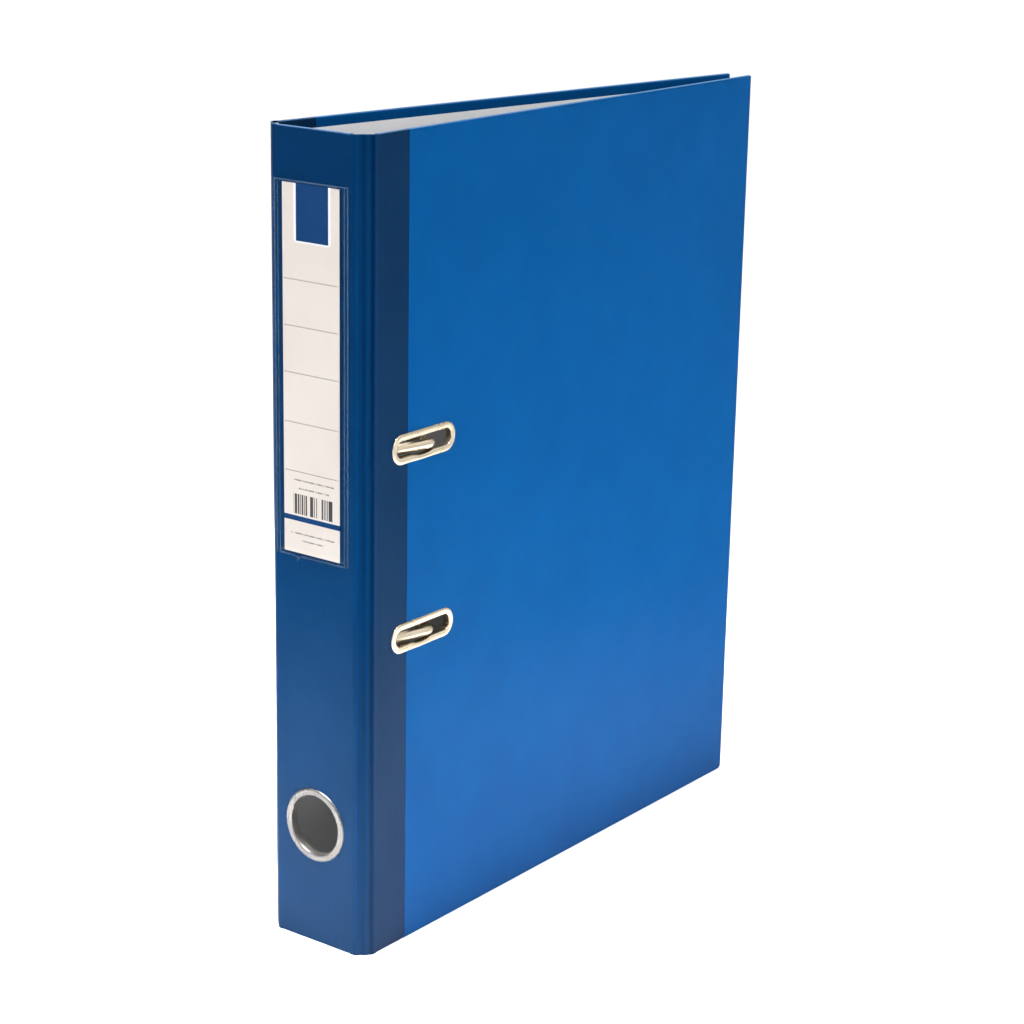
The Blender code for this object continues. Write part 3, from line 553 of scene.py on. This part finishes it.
def ink_material(name, ink, card, pattern=None, pitch=1.0 * MM, share=0.5):
    """Ink on the label card. A pattern is dashes along X, or upright bars of uneven width."""
    material, tree, shader, where = new_material(name, IOR=1.09, Specular_Tint=(0.3, 0.6, 1.0, 1))
    speck = noise(tree, where, 2400.0, 3.0)
    worn = blend_colour(tree, remap(tree, speck, 0.35, 0.65, 0.0, 0.02), ink, card)
    colour = worn
    if pattern:
        across = add_node(tree, "SeparateXYZ", Vector=where).outputs[0]
        cells = calc(tree, "DIVIDE", across, pitch)
        if pattern == "dashes":
            part = calc(tree, "FRACT", cells)
        else:
            part = add_node(tree, "TexWhiteNoise", {"noise_dimensions": "1D"},
                            W=calc(tree, "FLOOR", cells)).outputs["Value"]
        colour = blend_colour(tree, calc(tree, "LESS_THAN", part, share), card, worn)
    finish_shader(tree, shader, colour, remap(tree, speck, 0.3, 0.7, 0.42, 0.55),
                  bump(tree, speck, 0.008 * MM))
    return material


CLOTH_FLOOR_REFLECTION_HEIGHT = 0.16               # painted floor reflection: the cloth and the cover paper grow paler below these heights
COVER_FLOOR_REFLECTION_HEIGHT = 0.12
# Painted highlight on the top and bottom edges: its strength, and its colours on the cloth and on the cover paper
EDGE_HIGHLIGHT_STRENGTH = 0.9
CLOTH_EDGE_HIGHLIGHT = (0.085, 0.15, 0.27, 1)
COVER_EDGE_HIGHLIGHT = (0.10, 0.22, 0.40, 1)
SPINE_DARK = (0.0005, 0.0175, 0.062, 1)
SPINE_LIGHT = (0.0009, 0.022, 0.075, 1)
CARD_CREAM = (0.597, 0.548, 0.502, 1)
INK_NAVY = (0.0005, 0.031, 0.12, 1)
INK_GREY = (0.05, 0.048, 0.048, 1)

MATERIALS = {
    # The last colour of each cloth is its painted floor reflection, added towards the foot
    "spine_cloth": cloth_material("spine_cloth", SPINE_DARK, SPINE_LIGHT, 0.35, (0.0095, 0.0095, 0.009)),
    "margin_cloth": cloth_material("margin_cloth", (0.0010, 0.0135, 0.042, 1), (0.0018, 0.0178, 0.053, 1),
                                   0.35, (0.013, 0.013, 0.020)),
    "cover_paper": paper_material("cover_paper", (0.0003, 0.0445, 0.157, 1), (0.0005, 0.0505, 0.173, 1),
                                  (0.36, 0.46), sheen=(0.2, 0.6, 1.0, 1), ior=1.075,
                                  # the cover paper's worn colour is its painted edge highlight
                                  worn=COVER_EDGE_HIGHLIGHT),
    "lining_paper": paper_material("lining_paper", (0.68, 0.685, 0.695, 1), (0.72, 0.725, 0.735, 1),
                                   (0.6, 0.75)),
    "greyboard": greyboard_material("greyboard"),
    "bright_nickel": nickel_material("bright_nickel", (0.62, 0.54, 0.42, 1), (0.52, 0.44, 0.31, 1),
                                     (0.18, 0.30), 0.0015 * MM),
    "ring_nickel": nickel_material("ring_nickel", (0.25, 0.240, 0.234, 1), (0.205, 0.196, 0.191, 1),
                                   (0.24, 0.34), 0.0006 * MM),
    "dull_nickel": nickel_material("dull_nickel", (0.62, 0.60, 0.57, 1), (0.52, 0.50, 0.46, 1),
                                   (0.28, 0.42), 0.008 * MM),
    "clear_film": film_material("clear_film", (0.06, 0.15, 0.3, 1), 0.012, (0.12, 0.22)),
    "weld": film_material("weld", (0.28, 0.45, 0.66, 1), 0.1, (0.2, 0.3)),
    "card": paper_material("card", (0.58, 0.53, 0.485, 1), (0.615, 0.565, 0.52, 1), (0.5, 0.65)),
    "card_white": paper_material("card_white", (0.70, 0.72, 0.76, 1), (0.74, 0.76, 0.80, 1), (0.5, 0.65)),
    "card_block": ink_material("card_block", INK_NAVY, CARD_CREAM),
    "card_dashes": ink_material("card_dashes", INK_GREY, CARD_CREAM, "dashes", 1.5 * MM, 0.42),
    "card_bars": ink_material("card_bars", INK_GREY, CARD_CREAM, "bars", 0.42 * MM, 0.5),
    "card_rule": ink_material("card_rule", (0.22, 0.21, 0.21, 1), CARD_CREAM, "bars", 0.36 * MM, 0.72),
}


# Cloth and lining pieces ------------------------------------------------------------------------

def fold_profile(depth, band):
    """(depth, z) from the inner band at the bottom, round the outer face, to the band at the top."""
    radius = min(EDGE_ROUND, depth / 2)
    bottom = [(depth, band), (depth, radius + GUARD)]
    bottom += arc((depth - radius, radius), radius, 0, -90, 5)
    if depth > 2 * radius:
        bottom += [(depth - radius - 0.1 * MM, 0), (radius + 0.1 * MM, 0), (radius, 0)]
    bottom += arc((radius, radius), radius, -90, -180, 5)[1:]
    bottom += [(0, radius + GUARD)]
    return bottom + [(d, HEIGHT - z) for d, z in reversed(bottom)]


def cloth_sheet(name, lines, depth, cutters=()):
    """The cloth over one stretch of the case, folded in at the top and bottom."""
    profile = fold_profile(depth, TURN_IN)
    lengths = [0.0]
    for before, after in zip(profile, profile[1:]):
        lengths.append(lengths[-1] + math.dist(before, after))
    rows = [[line.at(d, z) for d, z in profile] for line in lines]
    uv_rows = [[(line.run, length) for length in lengths] for line in lines]
    return thicken(grid_object(name, rows, ["spine_cloth"], uv_rows), CLOTH, cutters)


def hinge_pieces(name, start_body, end_body, runs):
    """A hinge's cloth and lining: two pieces each, split at the middle of the hinge."""
    middle = sum(runs) / 2
    parts = (("start", start_body, runs[0] - CREASE_REACH, middle, runs[0]),
             ("end", end_body, middle, runs[1] + CREASE_REACH, runs[1]))
    for end_name, wall_body, low, high, crease in parts:
        lines = stations(low, high, HINGE_STEP)
        cloth = cloth_sheet("%s_cloth_%s" % (name, end_name), lines, HINGE_DEPTH)
        z_range = (TURN_IN - LINING_OVERLAP, HEIGHT - TURN_IN + LINING_OVERLAP)
        inner = stations(max(low, crease - LINING_REACH) if end_name == "start" else low,
                         min(high, crease + LINING_REACH) if end_name == "end" else high, HINGE_STEP)
        rows = [[line.at(HINGE_DEPTH + LINING, z) for z in z_range] for line in inner]
        sheet = grid_object("%s_lining_%s" % (name, end_name), rows, ["lining_paper"], flip=True)
        lining = thicken(sheet, LINING)
        on_hinge = crease + (BEND_REACH if end_name == "start" else -BEND_REACH)
        on_wall = crease + (-BEND_REACH if end_name == "start" else BEND_REACH)
        wall_point = stations(on_wall, on_wall + 0.01 * MM, MM)[0].at(0, 0)
        hinge_point = stations(on_hinge, on_hinge + 0.01 * MM, MM)[0].at(0, 0)
        for piece, slot in ((cloth, "spine_cloth"), (lining, "lining_paper")):
            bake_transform(piece)
        if end_name == "start":
            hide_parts(name + "_cloth")


def lining_sheet(name, wall, ends, cutters=()):
    """A lining sheet that drops over the board's end at each crease it reaches."""
    depth = WALL + LINING / 2
    drop = HINGE_DEPTH + LINING
    flat = []
    for i, end in enumerate(ends):
        turn = -1 if i == 0 else 1
        if end[1]:
            corner = [(end[0] - turn * 0.9 * MM, depth), (end[0] - turn * 0.5 * MM, depth),
                      (end[0] - turn * 0.15 * MM, depth - 0.12 * MM),
                      (end[0], depth - 0.5 * MM), (end[0], drop)]
        else:
            corner = [(end[0], depth)]
        flat += corner if i else corner[::-1]
    z_range = (TURN_IN - LINING_OVERLAP, HEIGHT - TURN_IN + LINING_OVERLAP)
    rows = [[wall.at(a, d, z) for z in z_range] for a, d in flat]
    return thicken(grid_object(name, rows, ["lining_paper"], flip=wall.side > 0), LINING, cutters)


# Covers -----------------------------------------------------------------------------------------

def cover_outline(start):
    """Stations round a cover's three free edges: along, z, the way out and the band's inner edge."""
    found = []

    def add(a, z, out):
        inner = (min(a, COVER_LENGTH - TURN_IN) if abs(out[1]) > 0.01 or out[0] > 0 else a,
                 min(max(z, TURN_IN), HEIGHT - TURN_IN))
        found.append(((a, z), out, inner))

    for a in (start, COVER_LENGTH - TURN_IN, COVER_LENGTH - BOTTOM_CORNER):
        add(a, 0.0, (0.0, -1.0))
    for radius, centre_z, first in ((BOTTOM_CORNER, BOTTOM_CORNER, -90),
                                    (TOP_CORNER, HEIGHT - TOP_CORNER, 0)):
        for i in range(CORNER_STEPS + 1):
            angle = math.radians(first + 90 * i / CORNER_STEPS)
            out = (math.cos(angle), math.sin(angle))
            add(COVER_LENGTH - radius + radius * out[0], centre_z + radius * out[1], out)
        if first == -90:
            for z in (TURN_IN, HEIGHT - TURN_IN):
                add(COVER_LENGTH, z, (1.0, 0.0))
    for a in (COVER_LENGTH - TURN_IN, start):
        add(a, HEIGHT, (0.0, 1.0))
    return found


def cover_sheet(name, wall, cutters=()):
    """The cover's paper: the outer face, wrapped over three edges and turned in behind them."""
    outer = -PAPER_LIFT
    inner = WALL - LINING / 2
    radius = EDGE_ROUND
    outline = cover_outline(CLOTH_MARGIN)
    edge = [(radius + GUARD, outer), (radius, outer)]
    edge += [(radius - x, outer + radius - y) for x, y in arc((0, 0), radius, 90, 0, 5)][1:]
    edge += [(radius - x, inner - radius - y) for x, y in arc((0, 0), radius, 0, -90, 5)]
    edge += [(radius + GUARD, inner)]
    rows = []
    for (a, z), out, band in outline:
        row = [wall.at(a - out[0] * d, depth, z - out[1] * d) for d, depth in edge]
        row.append(wall.at(band[0], inner, band[1]))
        rows.append(row)
    obj = grid_object(name, rows, ["cover_paper"], flip=wall.side > 0)
    bm = bmesh.new()
    bm.from_mesh(obj.data)
    bm.verts.ensure_lookup_table()
    count = len(rows[0])
    loop = [bm.verts[i * count] for i in range(len(rows))]
    face = bm.faces.new(loop if wall.side > 0 else loop[::-1])
    face.smooth = True
    bmesh.ops.remove_doubles(bm, verts=bm.verts, dist=1e-6)
    bm.to_mesh(obj.data)
    bm.free()
    return thicken(obj, PAPER, cutters)


def board(name, wall, low, high, body, node, rounded=0.0, cutters=()):
    """A board inside its wrappings and a little smaller than them."""
    top_edge = HEIGHT - BOARD_INSET
    corners = [(low, BOARD_INSET), (high, BOARD_INSET), (high, top_edge), (low, top_edge)]
    if rounded:
        bottom = arc((high - rounded, BOARD_INSET + rounded), rounded, -90, 0, 6)
        top = arc((high - rounded, HEIGHT - BOARD_INSET - rounded), rounded, 0, 90, 6)
        corners = corners[:1] + bottom + top + corners[3:]
    obj = prism(name, wall, corners, (CLOTH + 0.05 * MM, WALL - LINING - 0.15 * MM))
    obj.data.materials.append(MATERIALS["greyboard"])
    place_piece(cut_holes(obj, cutters), body, "greyboard", node)


# Metal trim -------------------------------------------------------------------------------------

def swept_section(name, wall, track, section, depth_of, materials, shift=None):
    """A closed section of (outward, height) run round a closed track on a wall."""
    rows = []
    for place, out in track + [track[0]]:
        row = []
        for outward, height in section:
            spot = place + out * outward
            if shift:
                spot = spot + shift(spot, outward)
            row.append(wall.at(spot.x, depth_of(height), spot.y))
        rows.append(row)
    obj = grid_object(name, rows, materials, closed=True)
    bm = bmesh.new()
    bm.from_mesh(obj.data)
    bmesh.ops.remove_doubles(bm, verts=bm.verts, dist=1e-7)
    bmesh.ops.recalc_face_normals(bm, faces=bm.faces)
    bm.to_mesh(obj.data)
    bm.free()
    return settle(obj, 40)


def eyelet(where, cad_node):
    """The pressed rim of an arch slot, with a small dent in its lower edge."""
    (low_a, high_a), _, (low_z, high_z) = FRONT.span(cad_node)
    centre = Vector(((low_a + high_a) / 2, (low_z + high_z) / 2))
    rim = 2.8 * MM
    track = racetrack(centre, high_a - low_a - 2 * rim, high_z - low_z - 2 * rim, 20)
    section = [(2.8, 0.0), (2.8, 0.16), (2.7, 0.34), (2.45, 0.48), (2.0, 0.58), (1.5, 0.6), (1.0, 0.54),
               (0.7, 0.44), (0.5, 0.42), (0.3, 0.44), (0.12, 0.36), (0.02, 0.18), (0.0, -0.1), (0.0, -2.3),
               (0.12, -2.55), (1.4, -2.62), (1.5, -2.5), (1.4, -2.42), (0.42, -2.4), (0.42, -0.02)]
    section = [(x * MM, y * MM) for x, y in section]

    dent_offset, dent_half, dent_depth = 0.5 * MM, 5.2 * MM, 0.9 * MM

    def dent(spot, outward):
        along = (spot.x - centre.x + dent_offset) / dent_half
        if spot.y > centre.y:
            return Vector((0, 0))
        depth = dent_depth * math.exp(-along ** 4) * (1 - 0.9 * outward / rim)
        return Vector((0, -depth))

    obj = swept_section("slot_rim_" + where, FRONT, track, section, lambda height: -height - PAPER_LIFT,
                        ["bright_nickel"], dent)
    return place_piece(obj, "front_cover", "bright_nickel", cad_node)


def finger_ring():
    """The finger ring's domed rim, with a shallow groove, and its barrel."""
    (low_a, high_a), _, (low_z, high_z) = SPINE.span("finger_ring")
    centre = Vector(((low_a + high_a) / 2, (low_z + high_z) / 2))
    outer = (high_a - low_a) / 2
    steps = 120
    rim = 3.1 * MM
    dull_below = 0.5 * MM        # the barrel, inside the file, is less polished than the rim
    inner = outer - rim
    track = []
    for i in range(steps):
        angle = 2 * math.pi * i / steps
        out = Vector((math.cos(angle), math.sin(angle)))
        track.append((centre + out * inner, out))
    section = [(3.1, 0.02), (3.1, 0.25), (2.95, 0.5), (2.65, 0.72), (2.25, 0.84), (1.95, 0.86), (1.7, 0.78),
               (1.45, 0.77), (1.2, 0.86), (0.85, 0.88), (0.5, 0.8), (0.2, 0.6), (0.03, 0.3), (0.0, 0.0),
               (0.0, -3.0), (0.2, -3.15), (0.5, -3.1), (0.5, 0.02)]
    section = [(x * MM, y * MM) for x, y in section]
    obj = swept_section("finger_ring_rim", SPINE, track, section, lambda height: -height,
                        ["ring_nickel", "dull_nickel"])
    for face in obj.data.polygons:
        if SPINE.local(face.center)[1] > dull_below:
            face.material_index = 1
    return place_piece(obj, "spine", "bright_nickel", "finger_ring")


# Label ------------------------------------------------------------------------------------------

CARD_INKS = ["card", "card_block", "card_dashes", "card_bars", "card_rule", "card_white"]
BLOCK, DASHES, BARS, RULE, WHITE = range(1, len(CARD_INKS))


def printed_card():
    """The label card, cut into a grid so that each printed area has its own ink."""
    (left, right), (near, far), (bottom, top) = SPINE.span("label_card")
    width = right - left
    areas = []                   # left, right, bottom, top, ink; all in metres from the card's corner

    def area(x0, x1, z0, z1, ink):
        areas.append((x0 * MM, x1 * MM, z0 * MM, z1 * MM, ink))

    card_wide = width / MM
    card_tall = (top - bottom) / MM
    area(7.3, 24.5, 127.8, card_tall, BLOCK)
    area(6.1, 7.3, 127.8, card_tall, WHITE)
    area(24.5, 25.7, 127.8, card_tall, WHITE)
    area(6.9, 25.0, 127.2, 127.8, WHITE)
    for z in (112.3, 93.6, 74.6, 54.3, 34.1):
        area(0.7, card_wide - 0.7, z - 0.26, z + 0.26, DASHES)
    area(5.2, 26.6, 16.4, 24.8, BARS)
    for x0, x1, z in ((4.6, 27.2, 30.6), (8.0, 24.6, 27.2), (3.8, 27.4, 8.2), (9.4, 21.6, 5.4)):
        area(x0, x1, z - 0.32, z + 0.32, RULE)
    area(0.0, card_wide, 13.4, 15.6, BLOCK)
    xs = sorted({0.0, width} | {edge for item in areas for edge in item[:2]})
    zs = sorted({0.0, top - bottom} | {edge for item in areas for edge in item[2:4]})
    rows = [[SPINE.at(left + x, near, bottom + z) for z in zs] for x in xs]
    obj = grid_object("label_card_printed", rows, CARD_INKS)
    for face in obj.data.polygons:
        a, _, z = SPINE.local(face.center)
        x, z = a - left, z - bottom
        for x0, x1, z0, z1, ink in areas:
            if x0 < x < x1 and z0 < z < z1:
                face.material_index = ink
    thicken(obj, far - near)
    return place_piece(obj, "label", "label_card", "label_card")


def label_film():
    """The clear pocket: a film that rises over the card and is welded down on three sides."""
    (left, right), (front, back), (bottom, top) = SPINE.span("label_pocket")
    weld = 2.3 * MM
    rise = 1.2 * MM
    ridge = 0.35 * MM
    low = -back - 0.02 * MM
    high = -front + 0.05 * MM
    notch = left + 11.7 * MM

    def lift(distance):
        """Height of the film at a distance in from a welded edge."""
        t = min(1.0, max(0.0, (distance - weld) / rise))
        height = low + 0.08 * MM + (high - low - 0.08 * MM) * t * t * (3 - 2 * t)
        for place in (0.3 * MM, weld - 0.2 * MM):
            offset = (distance - place) / ridge
            height += 0.14 * MM * math.exp(-offset * offset)
        return height

    edge = [0.0, 0.15, 0.3, 0.45, 0.7, 1.4, 1.8, 2.1, 2.3, 2.6, 2.9, 3.2, 3.5, 4.2]
    edge = [value * MM for value in edge]
    middle = [notch + value * MM for value in (-1.6, -0.8, 0.0, 0.8, 1.6)]
    xs = sorted([left + value for value in edge] + middle + [right - value for value in edge])
    zs = [bottom + value for value in edge] + [top - 1.2 * MM, top - 0.6 * MM, top]
    rows = []
    for x in xs:
        row = []
        for z in zs:
            height = min(lift(x - left), lift(right - x), lift(z - bottom))
            dip = max(0.0, 1 - abs(x - notch) / (1.6 * MM)) * 2.0 * MM
            fade = max(0.0, 1 - (z - bottom) / (1.4 * MM))
            row.append(SPINE.at(x, -height, z - dip * fade))
        rows.append(row)
    obj = grid_object("label_pocket_film", rows, ["clear_film", "weld"])
    for face in obj.data.polygons:
        a, _, z = SPINE.local(face.center)
        for distance in (a - left, right - a, z - bottom):
            if distance < 0.6 * MM or weld - 0.45 * MM < distance < weld + 0.05 * MM:
                inside = min(a - left, right - a) > weld - 0.4 * MM or distance != z - bottom
                if inside:
                    face.material_index = 1
        if top - z < 0.7 * MM:
            face.material_index = 1
    thicken(obj, FILM)
    return place_piece(obj, "spine", "clear_film", "label_pocket")


# The whole file ---------------------------------------------------------------------------------

def slot_cutters():
    """The two arch slots, a little smaller than their rims so that each rim hides the cut."""
    hidden = 1.4 * MM
    found = []
    for where in ("upper", "lower"):
        (low_a, high_a), _, (low_z, high_z) = FRONT.span("slot_eyelet_" + where)
        centre = Vector(((low_a + high_a) / 2, (low_z + high_z) / 2))
        track = racetrack(centre, high_a - low_a - 2 * hidden, high_z - low_z - 2 * hidden, 12)
        outline = [tuple(place) for place, _ in track]
        found.append(prism("slot_cutter_" + where, FRONT, outline, CUT_DEPTHS))
    return found


def ring_cutter():
    (low_a, high_a), _, (low_z, high_z) = SPINE.span("finger_ring")
    centre = ((low_a + high_a) / 2, (low_z + high_z) / 2)
    hidden = 1.8 * MM
    steps = 64
    outline = arc(centre, (high_a - low_a) / 2 - hidden, 0, 360 - 360 / steps, steps - 1)
    return prism("ring_cutter", SPINE, outline, CUT_DEPTHS)


def build_case():
    slots = slot_cutters()
    ring = ring_cutter()
    back_edge, spine_start, spine_end, front_edge = CREASE_RUNS
    reach = CREASE_REACH
    flats = (("back_cloth_wrap", 0.0, back_edge - reach, "back_cover", "back_cloth_margin", ()),
             ("spine_cloth_wrap", spine_start + reach, spine_end - reach, "spine", "spine_cloth", (ring,)),
             ("front_cloth_wrap", front_edge + reach, PATH_END, "front_cover", "front_cloth_margin", slots))
    for name, low, high, body, node, cutters in flats:
        lines = stations(low, high, high - low)
        sheet = cloth_sheet(name, lines, WALL - LINING / 2 - PAPER_LIFT, cutters)
        if name != "spine_cloth_wrap":
            sheet.data.materials[0] = MATERIALS["margin_cloth"]
        place_piece(sheet, body, "spine_cloth", node)
    hinge_pieces("back_hinge", "back_cover", "spine", HINGE_RUNS[0])
    hinge_pieces("front_hinge", "spine", "front_cover", HINGE_RUNS[1])

    place_piece(cover_sheet("front_cover_wrap", FRONT, slots), "front_cover", "cover_paper",
                "front_cover_paper", "front_turn_in")
    place_piece(cover_sheet("back_cover_wrap", BACK), "back_cover", "cover_paper",
                "back_cover_paper", "back_turn_in")
    inner_end = COVER_LENGTH - TURN_IN + LINING_OVERLAP
    start = 1.0 * MM
    place_piece(lining_sheet("front_lining_sheet", FRONT, ((start, True), (inner_end, False)), slots),
                "front_cover", "lining_paper", "front_lining")
    place_piece(lining_sheet("back_lining_sheet", BACK, ((start, True), (inner_end, False))),
                "back_cover", "lining_paper", "back_lining")
    both_ends = ((start, True), (SPINE_WIDTH - start, True))
    place_piece(lining_sheet("spine_lining_sheet", SPINE, both_ends, (ring,)),
                "spine", "lining_paper", "spine_lining")
    board("back_core", BACK, start, COVER_LENGTH - BOARD_INSET, "back_cover", "back_board", BOTTOM_CORNER)
    board("front_core", FRONT, start, COVER_LENGTH - BOARD_INSET, "front_cover", "front_board", BOTTOM_CORNER,
          slots)
    board("spine_core", SPINE, start, SPINE_WIDTH - start, "spine", "spine_board", 0.0, (ring,))
    for cutter in slots + [ring]:
        bpy.data.objects.remove(cutter, do_unlink=True)


def finish_cad_nodes():
    """Every CAD node gets its finish. It shows on those that have no finer piece."""
    slot_of = {part["node"]: part["material_slot"] for part in frame["record"]["subparts"]}
    for name, obj in frame["nodes"].items():
        obj.data.materials.clear()
        obj.data.materials.append(MATERIALS.get(slot_of[name], MATERIALS["card"]))


def build_stage():
    bpy.ops.mesh.primitive_plane_add(size=14.0, location=(0, 0, 0))
    floor = bpy.context.object
    floor.name = "floor"
    material = new_material("floor_paper", Base_Color=FLOOR_WHITE, Roughness=0.9)[0]
    floor.data.materials.append(material)


def area_light(name, place, target, size, power):
    data = bpy.data.lights.new(name, "AREA")
    data.shape = "RECTANGLE"
    data.size, data.size_y = size
    data.energy = power
    light = bpy.data.objects.new(name, data)
    bpy.context.scene.collection.objects.link(light)
    light.location = place
    light.rotation_euler = (Vector(target) - Vector(place)).to_track_quat("-Z", "Y").to_euler()
    return light


def build_lights():
    """A white skyline, then a sky that brightens upwards, broad lamps, and pools of light on the floor."""
    world = bpy.data.worlds.new("studio")
    world.use_nodes = True
    tree = world.node_tree
    background = tree.nodes["Background"]
    background.inputs["Color"].default_value = (1, 1, 1, 1)
    ray = add_node(tree, "TexCoord").outputs["Generated"]
    height = add_node(tree, "SeparateXYZ", Vector=ray).outputs[2]
    skyline = remap(tree, height, SKYLINE, SKYLINE + 0.03, SKYLINE_GLOW, 0.0)
    ceiling = remap(tree, height, 0.0, 1.0, HORIZON, CEILING)
    tree.links.new(calc(tree, "MAXIMUM", skyline, ceiling), background.inputs["Strength"])
    bpy.context.scene.world = world
    area_light("key", (-1.1, -1.3, 1.5), (0, 0, 0.15), (1.2, 1.2), 3)
    area_light("overhead", (0.1, 0.3, 1.9), (0, 0.1, 0), (1.6, 1.6), 9)
    area_light("side", (1.6, 0.1, 0.75), (0, 0, 0.3), (0.8, 0.8), 7)
    for name, place, size, power in (("front_pool", (-0.08, -0.32, 0.9), (0.35, 0.26), 3.9),
                                     ("back_pool", (0.27, 0.05, 0.9), (0.3, 0.4), 4.0),
                                     ("left_pool", (-0.3, 0.1, 0.9), (0.3, 0.4), 3.4)):
        lamp = area_light(name, place, (place[0], place[1], 0), size, power)
        lamp.data.spread = math.radians(POOL_SPREAD)


def build_camera():
    azimuth, elevation, roll = (math.radians(v) for v in (CAMERA_AZIMUTH, CAMERA_ELEVATION, CAMERA_ROLL))
    forward = Vector((-math.sin(azimuth) * math.cos(elevation), math.cos(azimuth) * math.cos(elevation),
                      -math.sin(elevation)))
    level = Vector((math.cos(azimuth), math.sin(azimuth), 0))
    upright = level.cross(forward)
    right = level * math.cos(roll) + upright * math.sin(roll)
    up = upright * math.cos(roll) - level * math.sin(roll)
    data = bpy.data.cameras.new("camera")
    data.lens = CAMERA_LENS
    data.sensor_width = 36
    data.shift_x, data.shift_y = CAMERA_SHIFT
    camera = bpy.data.objects.new("camera", data)
    bpy.context.scene.collection.objects.link(camera)
    turn = Matrix((right, up, -forward)).transposed()
    camera.matrix_world = Matrix.Translation(CAMERA_PLACE) @ turn.to_4x4()
    bpy.context.scene.camera = camera


bpy.context.scene.view_settings.view_transform = "Standard"
build_camera()
build_stage()
build_lights()
finish_cad_nodes()
build_case()
for where in ("upper", "lower"):
    eyelet(where, "slot_eyelet_" + where)
finger_ring()
printed_card()
label_film()
